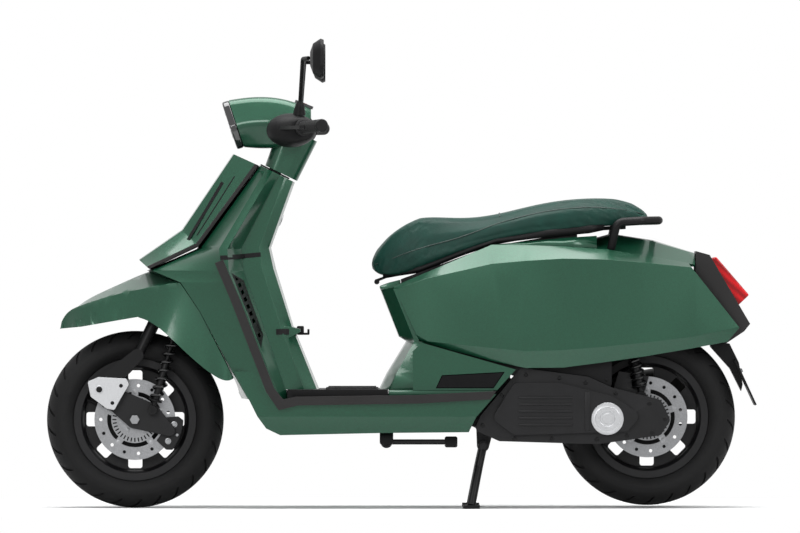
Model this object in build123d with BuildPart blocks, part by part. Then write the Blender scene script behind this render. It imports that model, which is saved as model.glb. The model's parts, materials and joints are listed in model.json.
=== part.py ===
"""Motor scooter on its centre stand, parked upright. Millimetres.

+X points ahead, +Y to the rider's left, +Z up; the floor is Z = 0.
The hardest feature is the trailing-link front fork, which turns inside the leg shield.
"""

import math
import os

from build123d import *

os.makedirs("parts", exist_ok=True)

# Tyre size 120/70-12 at both ends: width, section height share and rim diameter.
TYRE_WIDTH = 120.0
TYRE_ASPECT = 0.70
RIM_SEAT_R = 12 * 25.4 / 2
TYRE_R = RIM_SEAT_R + TYRE_WIDTH * TYRE_ASPECT
TREAD_WIDTH = 0.84 * TYRE_WIDTH
BEAD_WIDTH = 84.0
RIM_FLANGE_R = RIM_SEAT_R + 11.0

# Overall plan: the wheelbase, the tyres and the plate's distance behind the rear tyre give the length.
WHEELBASE = 1368.0
PLATE_BEHIND_TYRE = 56.2
OVERALL_LENGTH = WHEELBASE + 2 * TYRE_R + PLATE_BEHIND_TYRE
FRONT_AXLE_X = OVERALL_LENGTH / 2 - TYRE_R
FRONT_AXLE_Z = TYRE_R
REAR_AXLE_X = FRONT_AXLE_X - WHEELBASE
REAR_LIFT = 7.0
REAR_AXLE_Z = TYRE_R + REAR_LIFT

# Stations along X are drawn for axles at these two places.
# Ahead of the floor they go with the front axle, behind it with the rear one; the floor takes up the rest.
DRAWN_FRONT_AXLE = 712.1
DRAWN_REAR_AXLE = -655.9
FLOOR_FRONT = 215.0
FLOOR_REAR = -100.0


def at(x):
    """Place of a drawn station along the scooter."""
    share = min(1.0, max(0.0, (x - FLOOR_REAR) / (FLOOR_FRONT - FLOOR_REAR)))
    ahead, behind = FRONT_AXLE_X - DRAWN_FRONT_AXLE, REAR_AXLE_X - DRAWN_REAR_AXLE
    return x + behind + share * (ahead - behind)


def trace(*points):
    """Points of the side view, each put at its station."""
    return [(at(x), z) for x, z in points]


# Steering axis: rake from the vertical and one point on it, in the middle of the neck.
RAKE = math.radians(26.0)
HEAD_X = at(316.0)
HEAD_Z = 945.0
STEER = Plane(
    origin=(HEAD_X, 0, HEAD_Z),
    x_dir=(math.cos(RAKE), 0, math.sin(RAKE)),
    z_dir=(-math.sin(RAKE), 0, math.cos(RAKE)),
)
STEER_AXIS = Axis((HEAD_X, 0, HEAD_Z), (-math.sin(RAKE), 0, math.cos(RAKE)))

# Fork: two legs ahead of the steering axis, a crown over the tyre, a link behind each pivot.
LEG_AHEAD = 112.0
LEG_Y = 84.0
LEG_R = 15.0
CROWN_TOP = -465.0
CROWN_THICK = 30.0
LEG_FOOT = (at(705.0), 408.0)
LINK_PIVOT = (at(806.0), 317.0)
SHOCK_FOOT = (at(664.0), 262.0)
SHOCK_HEAD = (at(597.0), 496.0)
CROWN_END_R = 20.0
STEER_CLEAR = 12.0
CAVITY_R = math.hypot(LEG_AHEAD, LEG_Y) + CROWN_END_R + STEER_CLEAR

# Brake discs.
DISC_R = 108.0
DISC_INNER_R = 74.0
DISC_THICK = 4.0
DISC_Y = 52.0

# Stem, axle and running clearances.
STEM_R = 17.0
AXLE_R = 8.0
RUN_GAP = 0.3

# Hinges of the seat lid and the two stands.
SEAT_HINGE = (at(66.0), 604.0)
STAND_PIVOT = (at(-218.0), 166.0)
STAND_FOOT_X = at(-186.0)
STAND_FOOT_Y = 150.0
SIDE_STAND_PIVOT = (at(40.0), 152.0, 178.0)
SIDE_STAND_LENGTH = 172.0


def side(y):
    """Plane facing -Y at this Y: local axes are X and Z, and extruding goes towards -Y."""
    return Plane.XZ.offset(-y)


def across(x):
    """Plane across the scooter at this X: local axes are Y and Z."""
    return Plane.YZ.offset(x)


def slanted(low, high):
    """Plane across the scooter through two points of the side view: local axes are Y and the slope."""
    run, rise = high[0] - low[0], high[1] - low[1]
    size = math.hypot(run, rise)
    return Plane(origin=(low[0], 0, low[1]), x_dir=(0, 1, 0), z_dir=(rise / size, 0, -run / size))


def both_sides(half):
    """Close a half outline over the middle plane, where the first number is the half width."""
    return list(half) + [(-y, v) for y, v in reversed(half) if y > 0]


def both_sides_level(half):
    """Close a half outline over the middle plane, where the second number is the half width."""
    return [(at(x), y) for x, y in half] + [(at(x), -y) for x, y in reversed(half) if y > 0]


# Tyres: a closed ring with a crowned tread and bulging walls, in straight facets across the section.
def make_tyre(axle_x, axle_z):
    half = [
        (0, TYRE_R), (0.25 * TREAD_WIDTH, TYRE_R - 4.5), (0.44 * TREAD_WIDTH, TYRE_R - 15.0),
        (TYRE_WIDTH / 2 - 3, TYRE_R - 30.0), (TYRE_WIDTH / 2, RIM_SEAT_R + 40.0),
        (TYRE_WIDTH / 2 - 5, RIM_SEAT_R + 24.0), (BEAD_WIDTH / 2 + 5, RIM_FLANGE_R + 2.0),
        (BEAD_WIDTH / 2 - 0.2, RIM_FLANGE_R + 2.0), (BEAD_WIDTH / 2 - 0.2, RIM_SEAT_R + 0.2),
    ]
    with BuildPart() as ring:
        with BuildSketch(across(axle_x)):
            with BuildLine():
                Polyline(*[(y, axle_z + r) for y, r in both_sides(half)], close=True)
            make_face()
        revolve(axis=Axis((axle_x, 0, axle_z), (0, 1, 0)))
    return ring.part


front_tyre = make_tyre(FRONT_AXLE_X, FRONT_AXLE_Z)
rear_tyre = make_tyre(REAR_AXLE_X, REAR_AXLE_Z)


# Rims: a cast wheel with eight windows near its edge and a hub bored for the axle.
def make_rim(axle_x, axle_z, hub_left, hub_right):
    with BuildPart() as wheel:
        with BuildSketch(across(axle_x)):
            with BuildLine():
                half = BEAD_WIDTH / 2
                bore = AXLE_R + RUN_GAP
                Polyline(
                    *[
                        (y, axle_z + r)
                        for y, r in (
                            (-half - 5, RIM_FLANGE_R),
                            (-half, RIM_FLANGE_R),
                            (-half, RIM_SEAT_R),
                            (half, RIM_SEAT_R),
                            (half, RIM_FLANGE_R),
                            (half + 5, RIM_FLANGE_R),
                            (half + 5, RIM_SEAT_R - 8),
                            (half - 8, RIM_SEAT_R - 15),
                            (14, RIM_SEAT_R - 17),
                            (12, 66),
                            (24, 40),
                            (hub_left, 36),
                            (hub_left, bore),
                            (-hub_right, bore),
                            (-hub_right, 30),
                            (-24, 40),
                            (-12, 66),
                            (-14, RIM_SEAT_R - 17),
                            (-half + 8, RIM_SEAT_R - 15),
                            (-half - 5, RIM_SEAT_R - 8),
                        )
                    ],
                    close=True,
                )
            make_face()
        revolve(axis=Axis((axle_x, 0, axle_z), (0, 1, 0)))
        with BuildSketch(side(40)):
            with Locations((axle_x, axle_z)):
                with PolarLocations(103, 8, start_angle=0):
                    RectangleRounded(56, 38, 7)
        extrude(amount=80, mode=Mode.SUBTRACT)
    return wheel.part


front_rim = make_rim(FRONT_AXLE_X, FRONT_AXLE_Z, 50, 58)
rear_rim = make_rim(REAR_AXLE_X, REAR_AXLE_Z, 50, 62)


# Brake discs: a drilled ring on five arms, and the slotted sensor ring outside the arms' root.
def make_disc(axle_x, axle_z):
    with BuildPart() as disc:
        with BuildSketch(side(DISC_Y + DISC_THICK)):
            with Locations((axle_x, axle_z)):
                Circle(DISC_R)
                Circle(DISC_INNER_R, mode=Mode.SUBTRACT)
                with PolarLocations(62, 5, start_angle=18):
                    Rectangle(40, 18)
                Circle(48)
                Circle(AXLE_R + 8, mode=Mode.SUBTRACT)
                with PolarLocations(91, 15):
                    Circle(4.5, mode=Mode.SUBTRACT)
        extrude(amount=DISC_THICK + 1.9)
        with BuildSketch(side(DISC_Y + DISC_THICK + 3)):
            with Locations((axle_x, axle_z)):
                Circle(63)
                Circle(46, mode=Mode.SUBTRACT)
        extrude(amount=4)
    return disc.part


front_disc = make_disc(FRONT_AXLE_X, FRONT_AXLE_Z)
rear_disc = make_disc(REAR_AXLE_X, REAR_AXLE_Z)


# Steering fork: stem, crown and two legs that bend ahead to the link pivots, in one welded piece.
with BuildPart() as steering_fork:
    with BuildSketch(STEER.offset(CROWN_TOP - CROWN_THICK)):
        Circle(34)
        with Locations((LEG_AHEAD, LEG_Y), (LEG_AHEAD, -LEG_Y)):
            Circle(CROWN_END_R)
        make_hull()
    extrude(amount=CROWN_THICK)
    with BuildSketch(STEER.offset(CROWN_TOP - CROWN_THICK)):
        Circle(STEM_R)
    extrude(amount=-CROWN_TOP + CROWN_THICK + 50)
    with BuildSketch(STEER.offset(-652)):
        with Locations((LEG_AHEAD + 1, LEG_Y), (LEG_AHEAD + 1, -LEG_Y)):
            Circle(LEG_R)
    extrude(amount=652 + CROWN_TOP - CROWN_THICK / 2)
    with BuildSketch(side(LEG_Y + 18)):
        with Locations(LEG_FOOT):
            Circle(17)
        with Locations(LINK_PIVOT):
            Circle(26)
        make_hull()
    extrude(amount=23)
    with BuildSketch(side(-LEG_Y + 5)):
        with Locations(LEG_FOOT):
            Circle(17)
        with Locations(LINK_PIVOT):
            Circle(26)
        make_hull()
    extrude(amount=23)
    for outer in (LEG_Y + 7, -LEG_Y + 7):
        with BuildSketch(side(outer)):
            with Locations((at(647), 520)):
                Circle(13)
            with Locations(SHOCK_HEAD):
                Circle(13)
            make_hull()
        extrude(amount=14)

# Links: one on each side from the pivot over the axle to the shock's foot.
with BuildPart() as fork_links:
    with BuildSketch(side(LEG_Y - 5.2)):
        with Locations(LINK_PIVOT):
            Circle(22)
        with Locations((FRONT_AXLE_X, FRONT_AXLE_Z)):
            Circle(24)
        with Locations(SHOCK_FOOT):
            Circle(16)
        with Locations((FRONT_AXLE_X - 94, FRONT_AXLE_Z - 30)):
            Circle(14)
        make_hull()
        with Locations((FRONT_AXLE_X, FRONT_AXLE_Z)):
            Circle(AXLE_R + 0.1, mode=Mode.SUBTRACT)
    extrude(amount=13)
    mirror(about=Plane.XZ)

with BuildPart() as pivot_covers:
    with BuildSketch(side(LEG_Y + 22.1)):
        with BuildLine():
            FilletPolyline(*trace((837, 338), (808, 350), (733, 346), (727, 330), (750, 291), (766, 262), (786, 266), (829, 298)), radius=6, close=True,
            )
        make_face()
    extrude(amount=4)
    with BuildSketch(side(LEG_Y + 27)):
        with Locations(LINK_PIVOT):
            Circle(10)
    extrude(amount=6)
    mirror(about=Plane.XZ)


# Shock absorbers: a body in a coil whose rings stand for the spring, an eye at each end.
def make_shock(low, high, coil_r, coils):
    size = (Vector(*high) - Vector(*low)).length
    axis = (Vector(*high) - Vector(*low)).normalized()
    with BuildPart() as shock:
        with BuildSketch(Plane(origin=low, x_dir=axis, z_dir=(0, 1, 0))):
            with BuildLine():
                pts = [(0, 0), (0, 8), (24, 8), (24, coil_r)]
                pitch = (size - 56) / coils
                for i in range(coils):
                    pts += [(30 + i * pitch, coil_r), (30 + (i + 0.5) * pitch, coil_r),
                            (30 + (i + 0.5) * pitch, coil_r - 5), (30 + (i + 1) * pitch, coil_r - 5)]
                pts += [(size - 26, coil_r), (size - 16, coil_r), (size - 16, 9), (size, 9), (size, 0)]
                Polyline(*pts, close=True)
            make_face()
        revolve(axis=Axis(low, axis))
        for end in (low, high):
            with BuildSketch(Plane(origin=(end[0], end[1] + 11, end[2]), x_dir=(1, 0, 0), z_dir=(0, -1, 0))):
                Circle(13)
            extrude(amount=22)
    return shock.part


front_shock = make_shock(
    (SHOCK_FOOT[0], LEG_Y + 6.1, SHOCK_FOOT[1]), (SHOCK_HEAD[0], LEG_Y + 6.1, SHOCK_HEAD[1]), 18, 7
)
with BuildPart() as front_shocks:
    add(front_shock)
    add(steering_fork.part, mode=Mode.SUBTRACT)
    mirror(about=Plane.XZ)

with BuildPart() as front_axle:
    with BuildSketch(side(LEG_Y + 4)):
        with Locations((FRONT_AXLE_X, FRONT_AXLE_Z)):
            Circle(AXLE_R)
    extrude(amount=2 * LEG_Y + 8)
    for outer in (LEG_Y + 4, -LEG_Y + 5.1):
        with BuildSketch(side(outer)):
            with Locations((FRONT_AXLE_X, FRONT_AXLE_Z)):
                RegularPolygon(13, 6)
        extrude(amount=9.1)


# Calipers: a bridge over the disc's edge, as a ring sector with a slot for the disc.
def make_caliper(axle_x, axle_z, start, sweep_deg, outer_y):
    with BuildPart() as caliper:
        with BuildSketch(side(outer_y)):
            with BuildLine():
                def polar(r, a):
                    return (axle_x + r * math.cos(math.radians(a)), axle_z + r * math.sin(math.radians(a)))

                mid = start + sweep_deg / 2
                out_arc = ThreePointArc(polar(129, start + 5), polar(129, mid), polar(129, start + sweep_deg - 5))
                in_arc = ThreePointArc(polar(80, start), polar(80, mid), polar(80, start + sweep_deg))
                Polyline(out_arc @ 0, polar(116, start), in_arc @ 0)
                Polyline(out_arc @ 1, polar(116, start + sweep_deg), in_arc @ 1)
            make_face()
        extrude(amount=outer_y - 30)
        with BuildSketch(side(DISC_Y + DISC_THICK + 5)):
            with Locations((axle_x, axle_z)):
                Circle(DISC_R + 5)
        extrude(amount=DISC_THICK + 1.9 + 10, mode=Mode.SUBTRACT)
    return caliper.part


front_caliper = make_caliper(FRONT_AXLE_X, FRONT_AXLE_Z, 176, 48, LEG_Y - 18.3)
rear_caliper = make_caliper(REAR_AXLE_X, REAR_AXLE_Z, 40, 48, 69.0)

# Handlebar: a bent tube through the clamp on top of the stem.
BAR_CLAMP = (HEAD_X - 62 * math.sin(RAKE), 0, HEAD_Z + 62 * math.cos(RAKE) + 12)
BAR_BEND = (BAR_CLAMP[0], 96.0, BAR_CLAMP[2])
BAR_END = (at(214.0), 352.0, 1018.0)
BAR_LENGTH = (Vector(*BAR_END) - Vector(*BAR_BEND)).length
BAR_DIR = (Vector(*BAR_END) - Vector(*BAR_BEND)).normalized()
BAR_FORE = Vector(1, 0, 0) - BAR_DIR * BAR_DIR.X
BAR_R = 11.0


def bar_plane(along):
    """Plane square to the outer bar at this distance from its bend: local y is up."""
    return Plane(origin=Vector(*BAR_BEND) + BAR_DIR * along, x_dir=BAR_FORE, z_dir=BAR_DIR)


with BuildPart() as handlebar:
    with BuildLine():
        FilletPolyline(BAR_CLAMP, BAR_BEND, BAR_END, radius=50)
    with BuildSketch(Plane(origin=BAR_CLAMP, x_dir=(1, 0, 0), z_dir=(0, 1, 0))):
        Circle(BAR_R)
    sweep()
    mirror(about=Plane.XZ)
    with BuildSketch(STEER.offset(50)):
        Rectangle(44, 60)
    extrude(amount=34)

with BuildPart() as grips:
    with BuildSketch(bar_plane(104)):
        Circle(17)
        Circle(BAR_R + 0.1, mode=Mode.SUBTRACT)
    extrude(amount=BAR_LENGTH - 106)
    with BuildSketch(bar_plane(98)):
        Circle(23)
        Circle(BAR_R + 0.1, mode=Mode.SUBTRACT)
    extrude(amount=8)
    with BuildSketch(bar_plane(BAR_LENGTH + 0.2)):
        Circle(17)
    extrude(amount=14)
    mirror(about=Plane.XZ)

# Controls: an egg-shaped switch housing round the bar with the brake lever ahead of the grip.
with BuildPart() as controls:
    for along, ahead, long, high in ((18, 16, 62, 43), (52, 18, 64, 45), (80, 12, 52, 38), (97, 3, 30, 27)):
        with BuildSketch(bar_plane(along)):
            with Locations((ahead, 6)):
                Ellipse(long, high)
    loft()
    lever = Plane(origin=Vector(*BAR_BEND) + BAR_DIR * 56 + Vector(0, 0, 4), x_dir=BAR_DIR,
                  z_dir=Vector(0, 0, -1))
    with BuildSketch(lever):
        with Locations((0, 52)):
            Circle(9)
        with Locations((150, 58)):
            Circle(6)
        with Locations((206, 50)):
            Circle(8)
        make_hull()
    extrude(amount=9)
    with BuildSketch(bar_plane(10)):
        Circle(BAR_R + 0.1)
    extrude(amount=100, mode=Mode.SUBTRACT)
    mirror(about=Plane.XZ)

# Mirrors: a stem in a boot on the switch housing, a domed shell and a flat glass facing the rider.
MIRROR_MID = (at(236.0), 318.0, 1195.0)
STEM_FOOT = (at(272.0), 160.0, 1050.0)
STEM_KNEE = (at(269.0), 170.0, 1092.0)
with BuildPart() as mirrors:
    with BuildLine():
        FilletPolyline(STEM_FOOT, STEM_KNEE, (at(262), 262, 1196), (at(246), 304, 1197), radius=14)
    with BuildSketch(Plane(origin=STEM_FOOT, z_dir=Vector(*STEM_KNEE) - Vector(*STEM_FOOT))):
        Circle(5.5)
    sweep()
    boot = Plane(origin=STEM_FOOT, z_dir=Vector(*STEM_KNEE) - Vector(*STEM_FOOT))
    for along, radius in ((0, 17), (26, 12), (36, 8)):
        with BuildSketch(boot.offset(along)):
            Circle(radius)
    loft(ruled=True)
    for dx, wide, high in ((-30, 136, 100), (-22, 142, 106), (-2, 112, 80), (6, 50, 36)):
        with BuildSketch(across(MIRROR_MID[0] + dx)):
            with Locations((MIRROR_MID[1], MIRROR_MID[2])):
                RectangleRounded(wide, high, min(wide, high) * 0.36)
    loft(ruled=True)
    with BuildSketch(across(MIRROR_MID[0] - 30)):
        with Locations((MIRROR_MID[1], MIRROR_MID[2])):
            RectangleRounded(126, 90, 32)
    extrude(amount=3, mode=Mode.SUBTRACT)
    add(controls.part, mode=Mode.SUBTRACT)
    mirror(about=Plane.XZ)

with BuildPart() as mirror_glasses:
    with BuildSketch(across(MIRROR_MID[0] - 29)):
        with Locations((MIRROR_MID[1], MIRROR_MID[2])):
            RectangleRounded(125.4, 89.4, 31.7)
    extrude(amount=1.9)
    mirror(about=Plane.XZ)

# Headset: a rounded six-sided nacelle behind the lamp and the neck down to the leg shield, hollow.
LAMP_LOW = (at(440.0), 964.0)
LAMP_HIGH = (at(482.0), 1090.0)
LAMP_DEPTH = 20.0
LAMP_BACK = slanted((LAMP_LOW[0] - LAMP_DEPTH, LAMP_LOW[1]), (LAMP_HIGH[0] - LAMP_DEPTH, LAMP_HIGH[1]))
LAMP_HALF = [(50, 0), (90, 54), (64, 132)]
LAMP_ROUND = 26.0
NACELLE = (
    (242, [(46, 1008), (72, 1032), (56, 1066)]),
    (300, [(58, 970), (100, 1026), (74, 1088)]),
    (372, [(58, 961), (100, 1027), (72, 1098)]),
)
NACELLE_WALL = 4.0
NECK_BOTTOM = -48.0
SHIELD_CUT = NECK_BOTTOM - 6.0


def drawn_in(half, wall):
    """A half outline of three corners, bottom, side and top, drawn in by a wall."""
    (low_y, low_z), (mid_y, mid_z), (top_y, top_z) = half
    return [(low_y - wall / 2, low_z + wall), (mid_y - wall, mid_z), (top_y - wall / 2, top_z - wall)]


def make_nacelle(wall):
    with BuildPart() as body:
        for x, half in NACELLE:
            with BuildSketch(across(at(x) + (wall if x == NACELLE[0][0] else 0))):
                with BuildLine():
                    FilletPolyline(*both_sides(drawn_in(half, wall)), radius=LAMP_ROUND - wall, close=True)
                make_face()
        with BuildSketch(LAMP_BACK):
            with BuildLine():
                FilletPolyline(*both_sides(drawn_in(LAMP_HALF, wall)), radius=LAMP_ROUND - wall, close=True)
            make_face()
        loft()
    return body.part


def make_neck(wall):
    with BuildPart() as tube:
        for up, ahead, long, wide in ((NECK_BOTTOM, -17, 95, 100), (70, -11, 110, 106)):
            with BuildSketch(STEER.offset(up)):
                with Locations((ahead, 0)):
                    RectangleRounded(long - 2 * wall, wide - 2 * wall, 34 - wall)
        loft(ruled=True)
    return tube.part


cowl_shell, cowl_hollow = make_nacelle(0), make_nacelle(NACELLE_WALL)
neck_shell, neck_hollow = make_neck(0), make_neck(NACELLE_WALL)
with BuildPart() as cowl_webs:
    add(make_nacelle(NACELLE_WALL / 2))
    with BuildSketch(side(68)):
        with Locations((BAR_CLAMP[0], BAR_CLAMP[2])):
            Rectangle(30, 200)
    extrude(amount=6, both=False, mode=Mode.INTERSECT)
    mirror(about=Plane.XZ)

with BuildPart() as headset_cowl:
    add(cowl_shell)
    add(neck_shell)
    add(cowl_hollow, mode=Mode.SUBTRACT)
    add(neck_hollow, mode=Mode.SUBTRACT)
    with BuildSketch(side(160)):
        with Locations((BAR_CLAMP[0], BAR_CLAMP[2])):
            Circle(22)
    extrude(amount=320, mode=Mode.SUBTRACT)
    add(cowl_webs.part)
    with BuildSketch(side(80)):
        with Locations((BAR_CLAMP[0], BAR_CLAMP[2])):
            Circle(BAR_R + 0.1)
    extrude(amount=160, mode=Mode.SUBTRACT)

with BuildPart() as headlamp:
    with BuildSketch(LAMP_BACK):
        with BuildLine():
            FilletPolyline(*both_sides(LAMP_HALF), radius=LAMP_ROUND, close=True)
        make_face()
    extrude(amount=LAMP_DEPTH)

with BuildPart() as instrument_panel:
    with BuildSketch(Plane(origin=(at(262), 0, 1074.0), x_dir=(0, 1, 0), z_dir=(-24, 0, 60))):
        RectangleRounded(96, 52, 12)
    extrude(amount=8)
    add(headset_cowl.part, mode=Mode.SUBTRACT)
    add(cowl_hollow, mode=Mode.SUBTRACT)

# Leg shield: level sections from the floor up to the neck, front centre to rear centre.
SHIELD_LOW = (
    (292, [(428, 0), (408, 184), (342, 205), (322, 203), (300, 140), (300, 0)]),
    (363, [(462, 0), (449, 188), (373, 210), (351, 207), (325, 135), (325, 0)]),
    (525, [(545, 0), (536, 184), (435, 215), (413, 212), (382, 128), (382, 0)]),
    (602, [(612, 0), (587, 168), (469, 212), (447, 209), (410, 122), (410, 0)]),
    (634, [(682, 0), (664, 116), (481, 208), (459, 205), (421, 118), (421, 0)]),
)
SHIELD_HIGH = (
    (634, [(682, 0), (664, 116), (481, 208), (459, 205), (421, 118), (421, 0)]),
    (692, [(548, 0), (536, 92), (485, 197), (463, 194), (428, 108), (428, 0)]),
    (900, [(392, 0), (386, 66), (364, 82), (344, 79), (322, 66), (322, 0)]),
    (950, [(356, 0), (351, 60), (333, 66), (313, 64), (296, 58), (296, 0)]),
)

# Side rail under the shield's outer edge: it comes down from the shield and runs back as the sill.
SILL = trace(
    (448, 366), (438, 356), (399, 278), (383, 246), (360, 214), (323, 196), (47, 202), (-179, 204), (-198, 244), (-252, 306), (-48, 293), (276, 288), (322, 272), (345, 296), (372, 366),
)
with BuildPart() as shield_body:
    for z, half in SHIELD_LOW:
        with BuildSketch(Plane.XY.offset(z)):
            with BuildLine():
                Polyline(*both_sides_level(half), close=True)
            make_face()
    loft(ruled=True)
    for z, half in SHIELD_HIGH:
        with BuildSketch(Plane.XY.offset(z)):
            with BuildLine():
                Polyline(*both_sides_level(half), close=True)
            make_face()
    loft(ruled=True)
    for outer in (203.0, -150.0):
        with BuildSketch(side(outer)):
            with BuildLine():
                Polyline(*SILL, close=True)
            make_face()
        extrude(amount=53)
    with BuildSketch(side(150.0)):
        with BuildLine():
            Polyline(*trace((400, 292), (383, 246), (355, 212), (323, 198), (47, 204), (-120, 206), (-120, 214), (47, 212), (318, 207), (340, 232), (350, 292)), close=True)
        make_face()
    extrude(amount=300)
    for hand in (1, -1):
        with BuildSketch(across(at(-300))):
            with BuildLine():
                Polyline((hand * 206, 250), (hand * 206, 186), (hand * 160, 186), close=True)
            make_face()
        extrude(amount=at(446) - at(-300), mode=Mode.SUBTRACT)
    with BuildSketch(STEER.offset(-680)):
        Circle(CAVITY_R)
    extrude(amount=680 + CROWN_TOP + 9, mode=Mode.SUBTRACT)
    with BuildSketch(STEER.offset(-600)):
        Circle(30.3)
    extrude(amount=700, mode=Mode.SUBTRACT)
    with BuildSketch(side(112)):
        with Locations((FRONT_AXLE_X, FRONT_AXLE_Z)):
            Circle(TYRE_R + 36)
    extrude(amount=224, mode=Mode.SUBTRACT)
    with BuildSketch(STEER.offset(SHIELD_CUT)):
        Rectangle(600, 600)
    extrude(amount=200, mode=Mode.SUBTRACT)

# Vent grilles: a ring with slanted slats, let into a pocket in the shield's rear face on each side.
VENT = trace(
    (452, 628), (420, 608), (368, 464), (373, 428),
)
VENT_DEPTH = 16.0
VENT_SLATS = 9
with BuildPart() as vent_pocket:
    add(shield_body.part)
    add(shield_body.part.moved(Location((VENT_DEPTH, 0, 0))), mode=Mode.SUBTRACT)
    with BuildSketch(side(204)):
        with BuildLine():
            Polyline(*VENT, close=True)
        make_face()
    extrude(amount=74, mode=Mode.INTERSECT)

with BuildPart() as vent_grilles:
    add(vent_pocket.part)
    with BuildSketch(side(210)):
        with BuildLine():
            Polyline(*VENT, close=True)
        make_face()
        offset(amount=-4, kind=Kind.INTERSECTION, mode=Mode.REPLACE)
        for i in range(VENT_SLATS):
            share = (i + 0.5) / VENT_SLATS
            with Locations((at(370 + 66 * share), 444 + 172 * share)):
                Rectangle(90, 9, rotation=-38, mode=Mode.SUBTRACT)
    extrude(amount=90, mode=Mode.SUBTRACT)
    mirror(about=Plane.XZ)

with BuildPart() as leg_shield:
    add(shield_body.part)
    add(vent_pocket.part, mode=Mode.SUBTRACT)
    add(mirror(vent_pocket.part, about=Plane.XZ, mode=Mode.PRIVATE), mode=Mode.SUBTRACT)

# Frame: the steering head tube, two rails under the floor and up to the tail, the side stand's pin.
SIDE_STAND_AXIS = Vector(0, 0.86, 0.51).normalized()
SIDE_STAND_HUB = Plane(origin=SIDE_STAND_PIVOT, x_dir=(1, 0, 0), z_dir=SIDE_STAND_AXIS)
SIDE_STAND_PIN_R = 6.0
with BuildPart() as frame:
    with BuildSketch(STEER.offset(CROWN_TOP + 12)):
        Circle(30)
        Circle(STEM_R + RUN_GAP, mode=Mode.SUBTRACT)
    extrude(amount=-CROWN_TOP - 12 + SHIELD_CUT)
    with BuildLine():
        FilletPolyline((at(322), 108, 258), (at(-90), 108, 258), (at(-230), 108, 385), (at(-420), 108, 415),
                       (at(-790), 92, 585), radius=60)
    with BuildSketch(Plane(origin=(at(322), 108, 258), x_dir=(0, 1, 0), z_dir=(-1, 0, 0))):
        Circle(16)
    sweep()
    mirror(about=Plane.XZ)
    with BuildSketch(SIDE_STAND_HUB.offset(8)):
        with Locations((0, -8)):
            RectangleRounded(36, 44, 8)
    extrude(amount=6)
    with BuildSketch(SIDE_STAND_HUB.offset(-11)):
        Circle(SIDE_STAND_PIN_R)
    extrude(amount=22)
    with BuildSketch(SIDE_STAND_HUB.offset(-12)):
        Circle(10)
    extrude(amount=4)
    add(leg_shield.part, mode=Mode.SUBTRACT)

# Spine: the raised middle of the shield's front, on a dark trim plate that shows as a line.
SPINE = (
    ((382, 915), (448, 945), 40, 64),
    ((540, 700), (585, 742), 48, 88),
    ((672, 638), (700, 662), 60, 112),
)
TRIM_DEPTH = 10.0


with BuildPart() as spine_trim:
    for low, high, front, back in SPINE:
        with BuildSketch(slanted(*trace(low, high))):
            with BuildLine():
                Polyline(*both_sides([(0, 0), (back + 5, 0), (back + 5, TRIM_DEPTH), (0, TRIM_DEPTH)]), close=True)
            make_face()
    loft(ruled=True)
    with BuildSketch(STEER.offset(SHIELD_CUT - 2)):
        Rectangle(600, 600)
    extrude(amount=200, mode=Mode.SUBTRACT)
    add(leg_shield.part, mode=Mode.SUBTRACT)
    add(frame.part, mode=Mode.SUBTRACT)

with BuildPart() as front_spine:
    for low, high, front, back in SPINE:
        with BuildSketch(slanted(*trace(low, high))):
            size = math.hypot(high[0] - low[0], high[1] - low[1])
            with BuildLine():
                Polyline(*both_sides([(0, TRIM_DEPTH), (back, TRIM_DEPTH), (front, size), (0, size + 3)]), close=True)
            make_face()
    loft(ruled=True)
    with BuildSketch(STEER.offset(SHIELD_CUT + 4)):
        Rectangle(600, 600)
    extrude(amount=200, mode=Mode.SUBTRACT)
    add(leg_shield.part, mode=Mode.SUBTRACT)
    add(spine_trim.part, mode=Mode.SUBTRACT)

# Knee panel: the rider's side of the shield, with a ledge under the open shelf.
with BuildPart() as knee_panel:
    for z, half in (
        (318, [(328, 0), (328, 134), (260, 116), (226, 96), (220, 0)]),
        (483, [(390, 0), (390, 126), (322, 118), (292, 92), (288, 0)]),
        (640, [(440, 0), (440, 114), (372, 104), (342, 84), (336, 0)]),
        (695, [(446, 0), (446, 104), (380, 96), (354, 76), (349, 0)]),
        (890, [(350, 0), (350, 64), (310, 62), (284, 50), (278, 0)]),
    ):
        with BuildSketch(Plane.XY.offset(z)):
            with BuildLine():
                Polyline(*both_sides_level(half), close=True)
            make_face()
    loft(ruled=True)
    with BuildSketch(side(110)):
        with BuildLine():
            Polyline(*trace((270, 470), (270, 478), (300, 486), (330, 486), (330, 440)), close=True)
        make_face()
    extrude(amount=220)
    with BuildSketch(STEER.offset(CROWN_TOP + 9 - 400)):
        Circle(CAVITY_R)
    extrude(amount=400, mode=Mode.SUBTRACT)
    with BuildSketch(STEER.offset(-600)):
        Circle(30.3)
    extrude(amount=700, mode=Mode.SUBTRACT)
    with BuildSketch(STEER.offset(SHIELD_CUT)):
        Rectangle(600, 600)
    extrude(amount=200, mode=Mode.SUBTRACT)
    add(leg_shield.part, mode=Mode.SUBTRACT)
    add(frame.part, mode=Mode.SUBTRACT)

# Edge trim: a dark bead round the shield's outer edge and along the sill.
EDGE_LINE = trace(
    (486, 660), (442, 556), (350, 318), (322, 276), (278, 287), (-48, 292), (-246, 304),
)
with BuildPart() as edge_trim:
    with BuildSketch(side(221)):
        with BuildLine():
            outer = [(x + 10, z - 6) for x, z in EDGE_LINE[:3]] + [(326, 263), (276, 276), (-48, 281), (-236, 292)]
            inner = [(x - 12, z + 3) for x, z in EDGE_LINE[:3]] + [(314, 292), (280, 299), (-48, 304), (-252, 314)]
            Polyline(*(outer + inner[::-1]), close=True)
        make_face()
    extrude(amount=20)
    add(leg_shield.part, mode=Mode.SUBTRACT)
    mirror(about=Plane.XZ)

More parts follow.
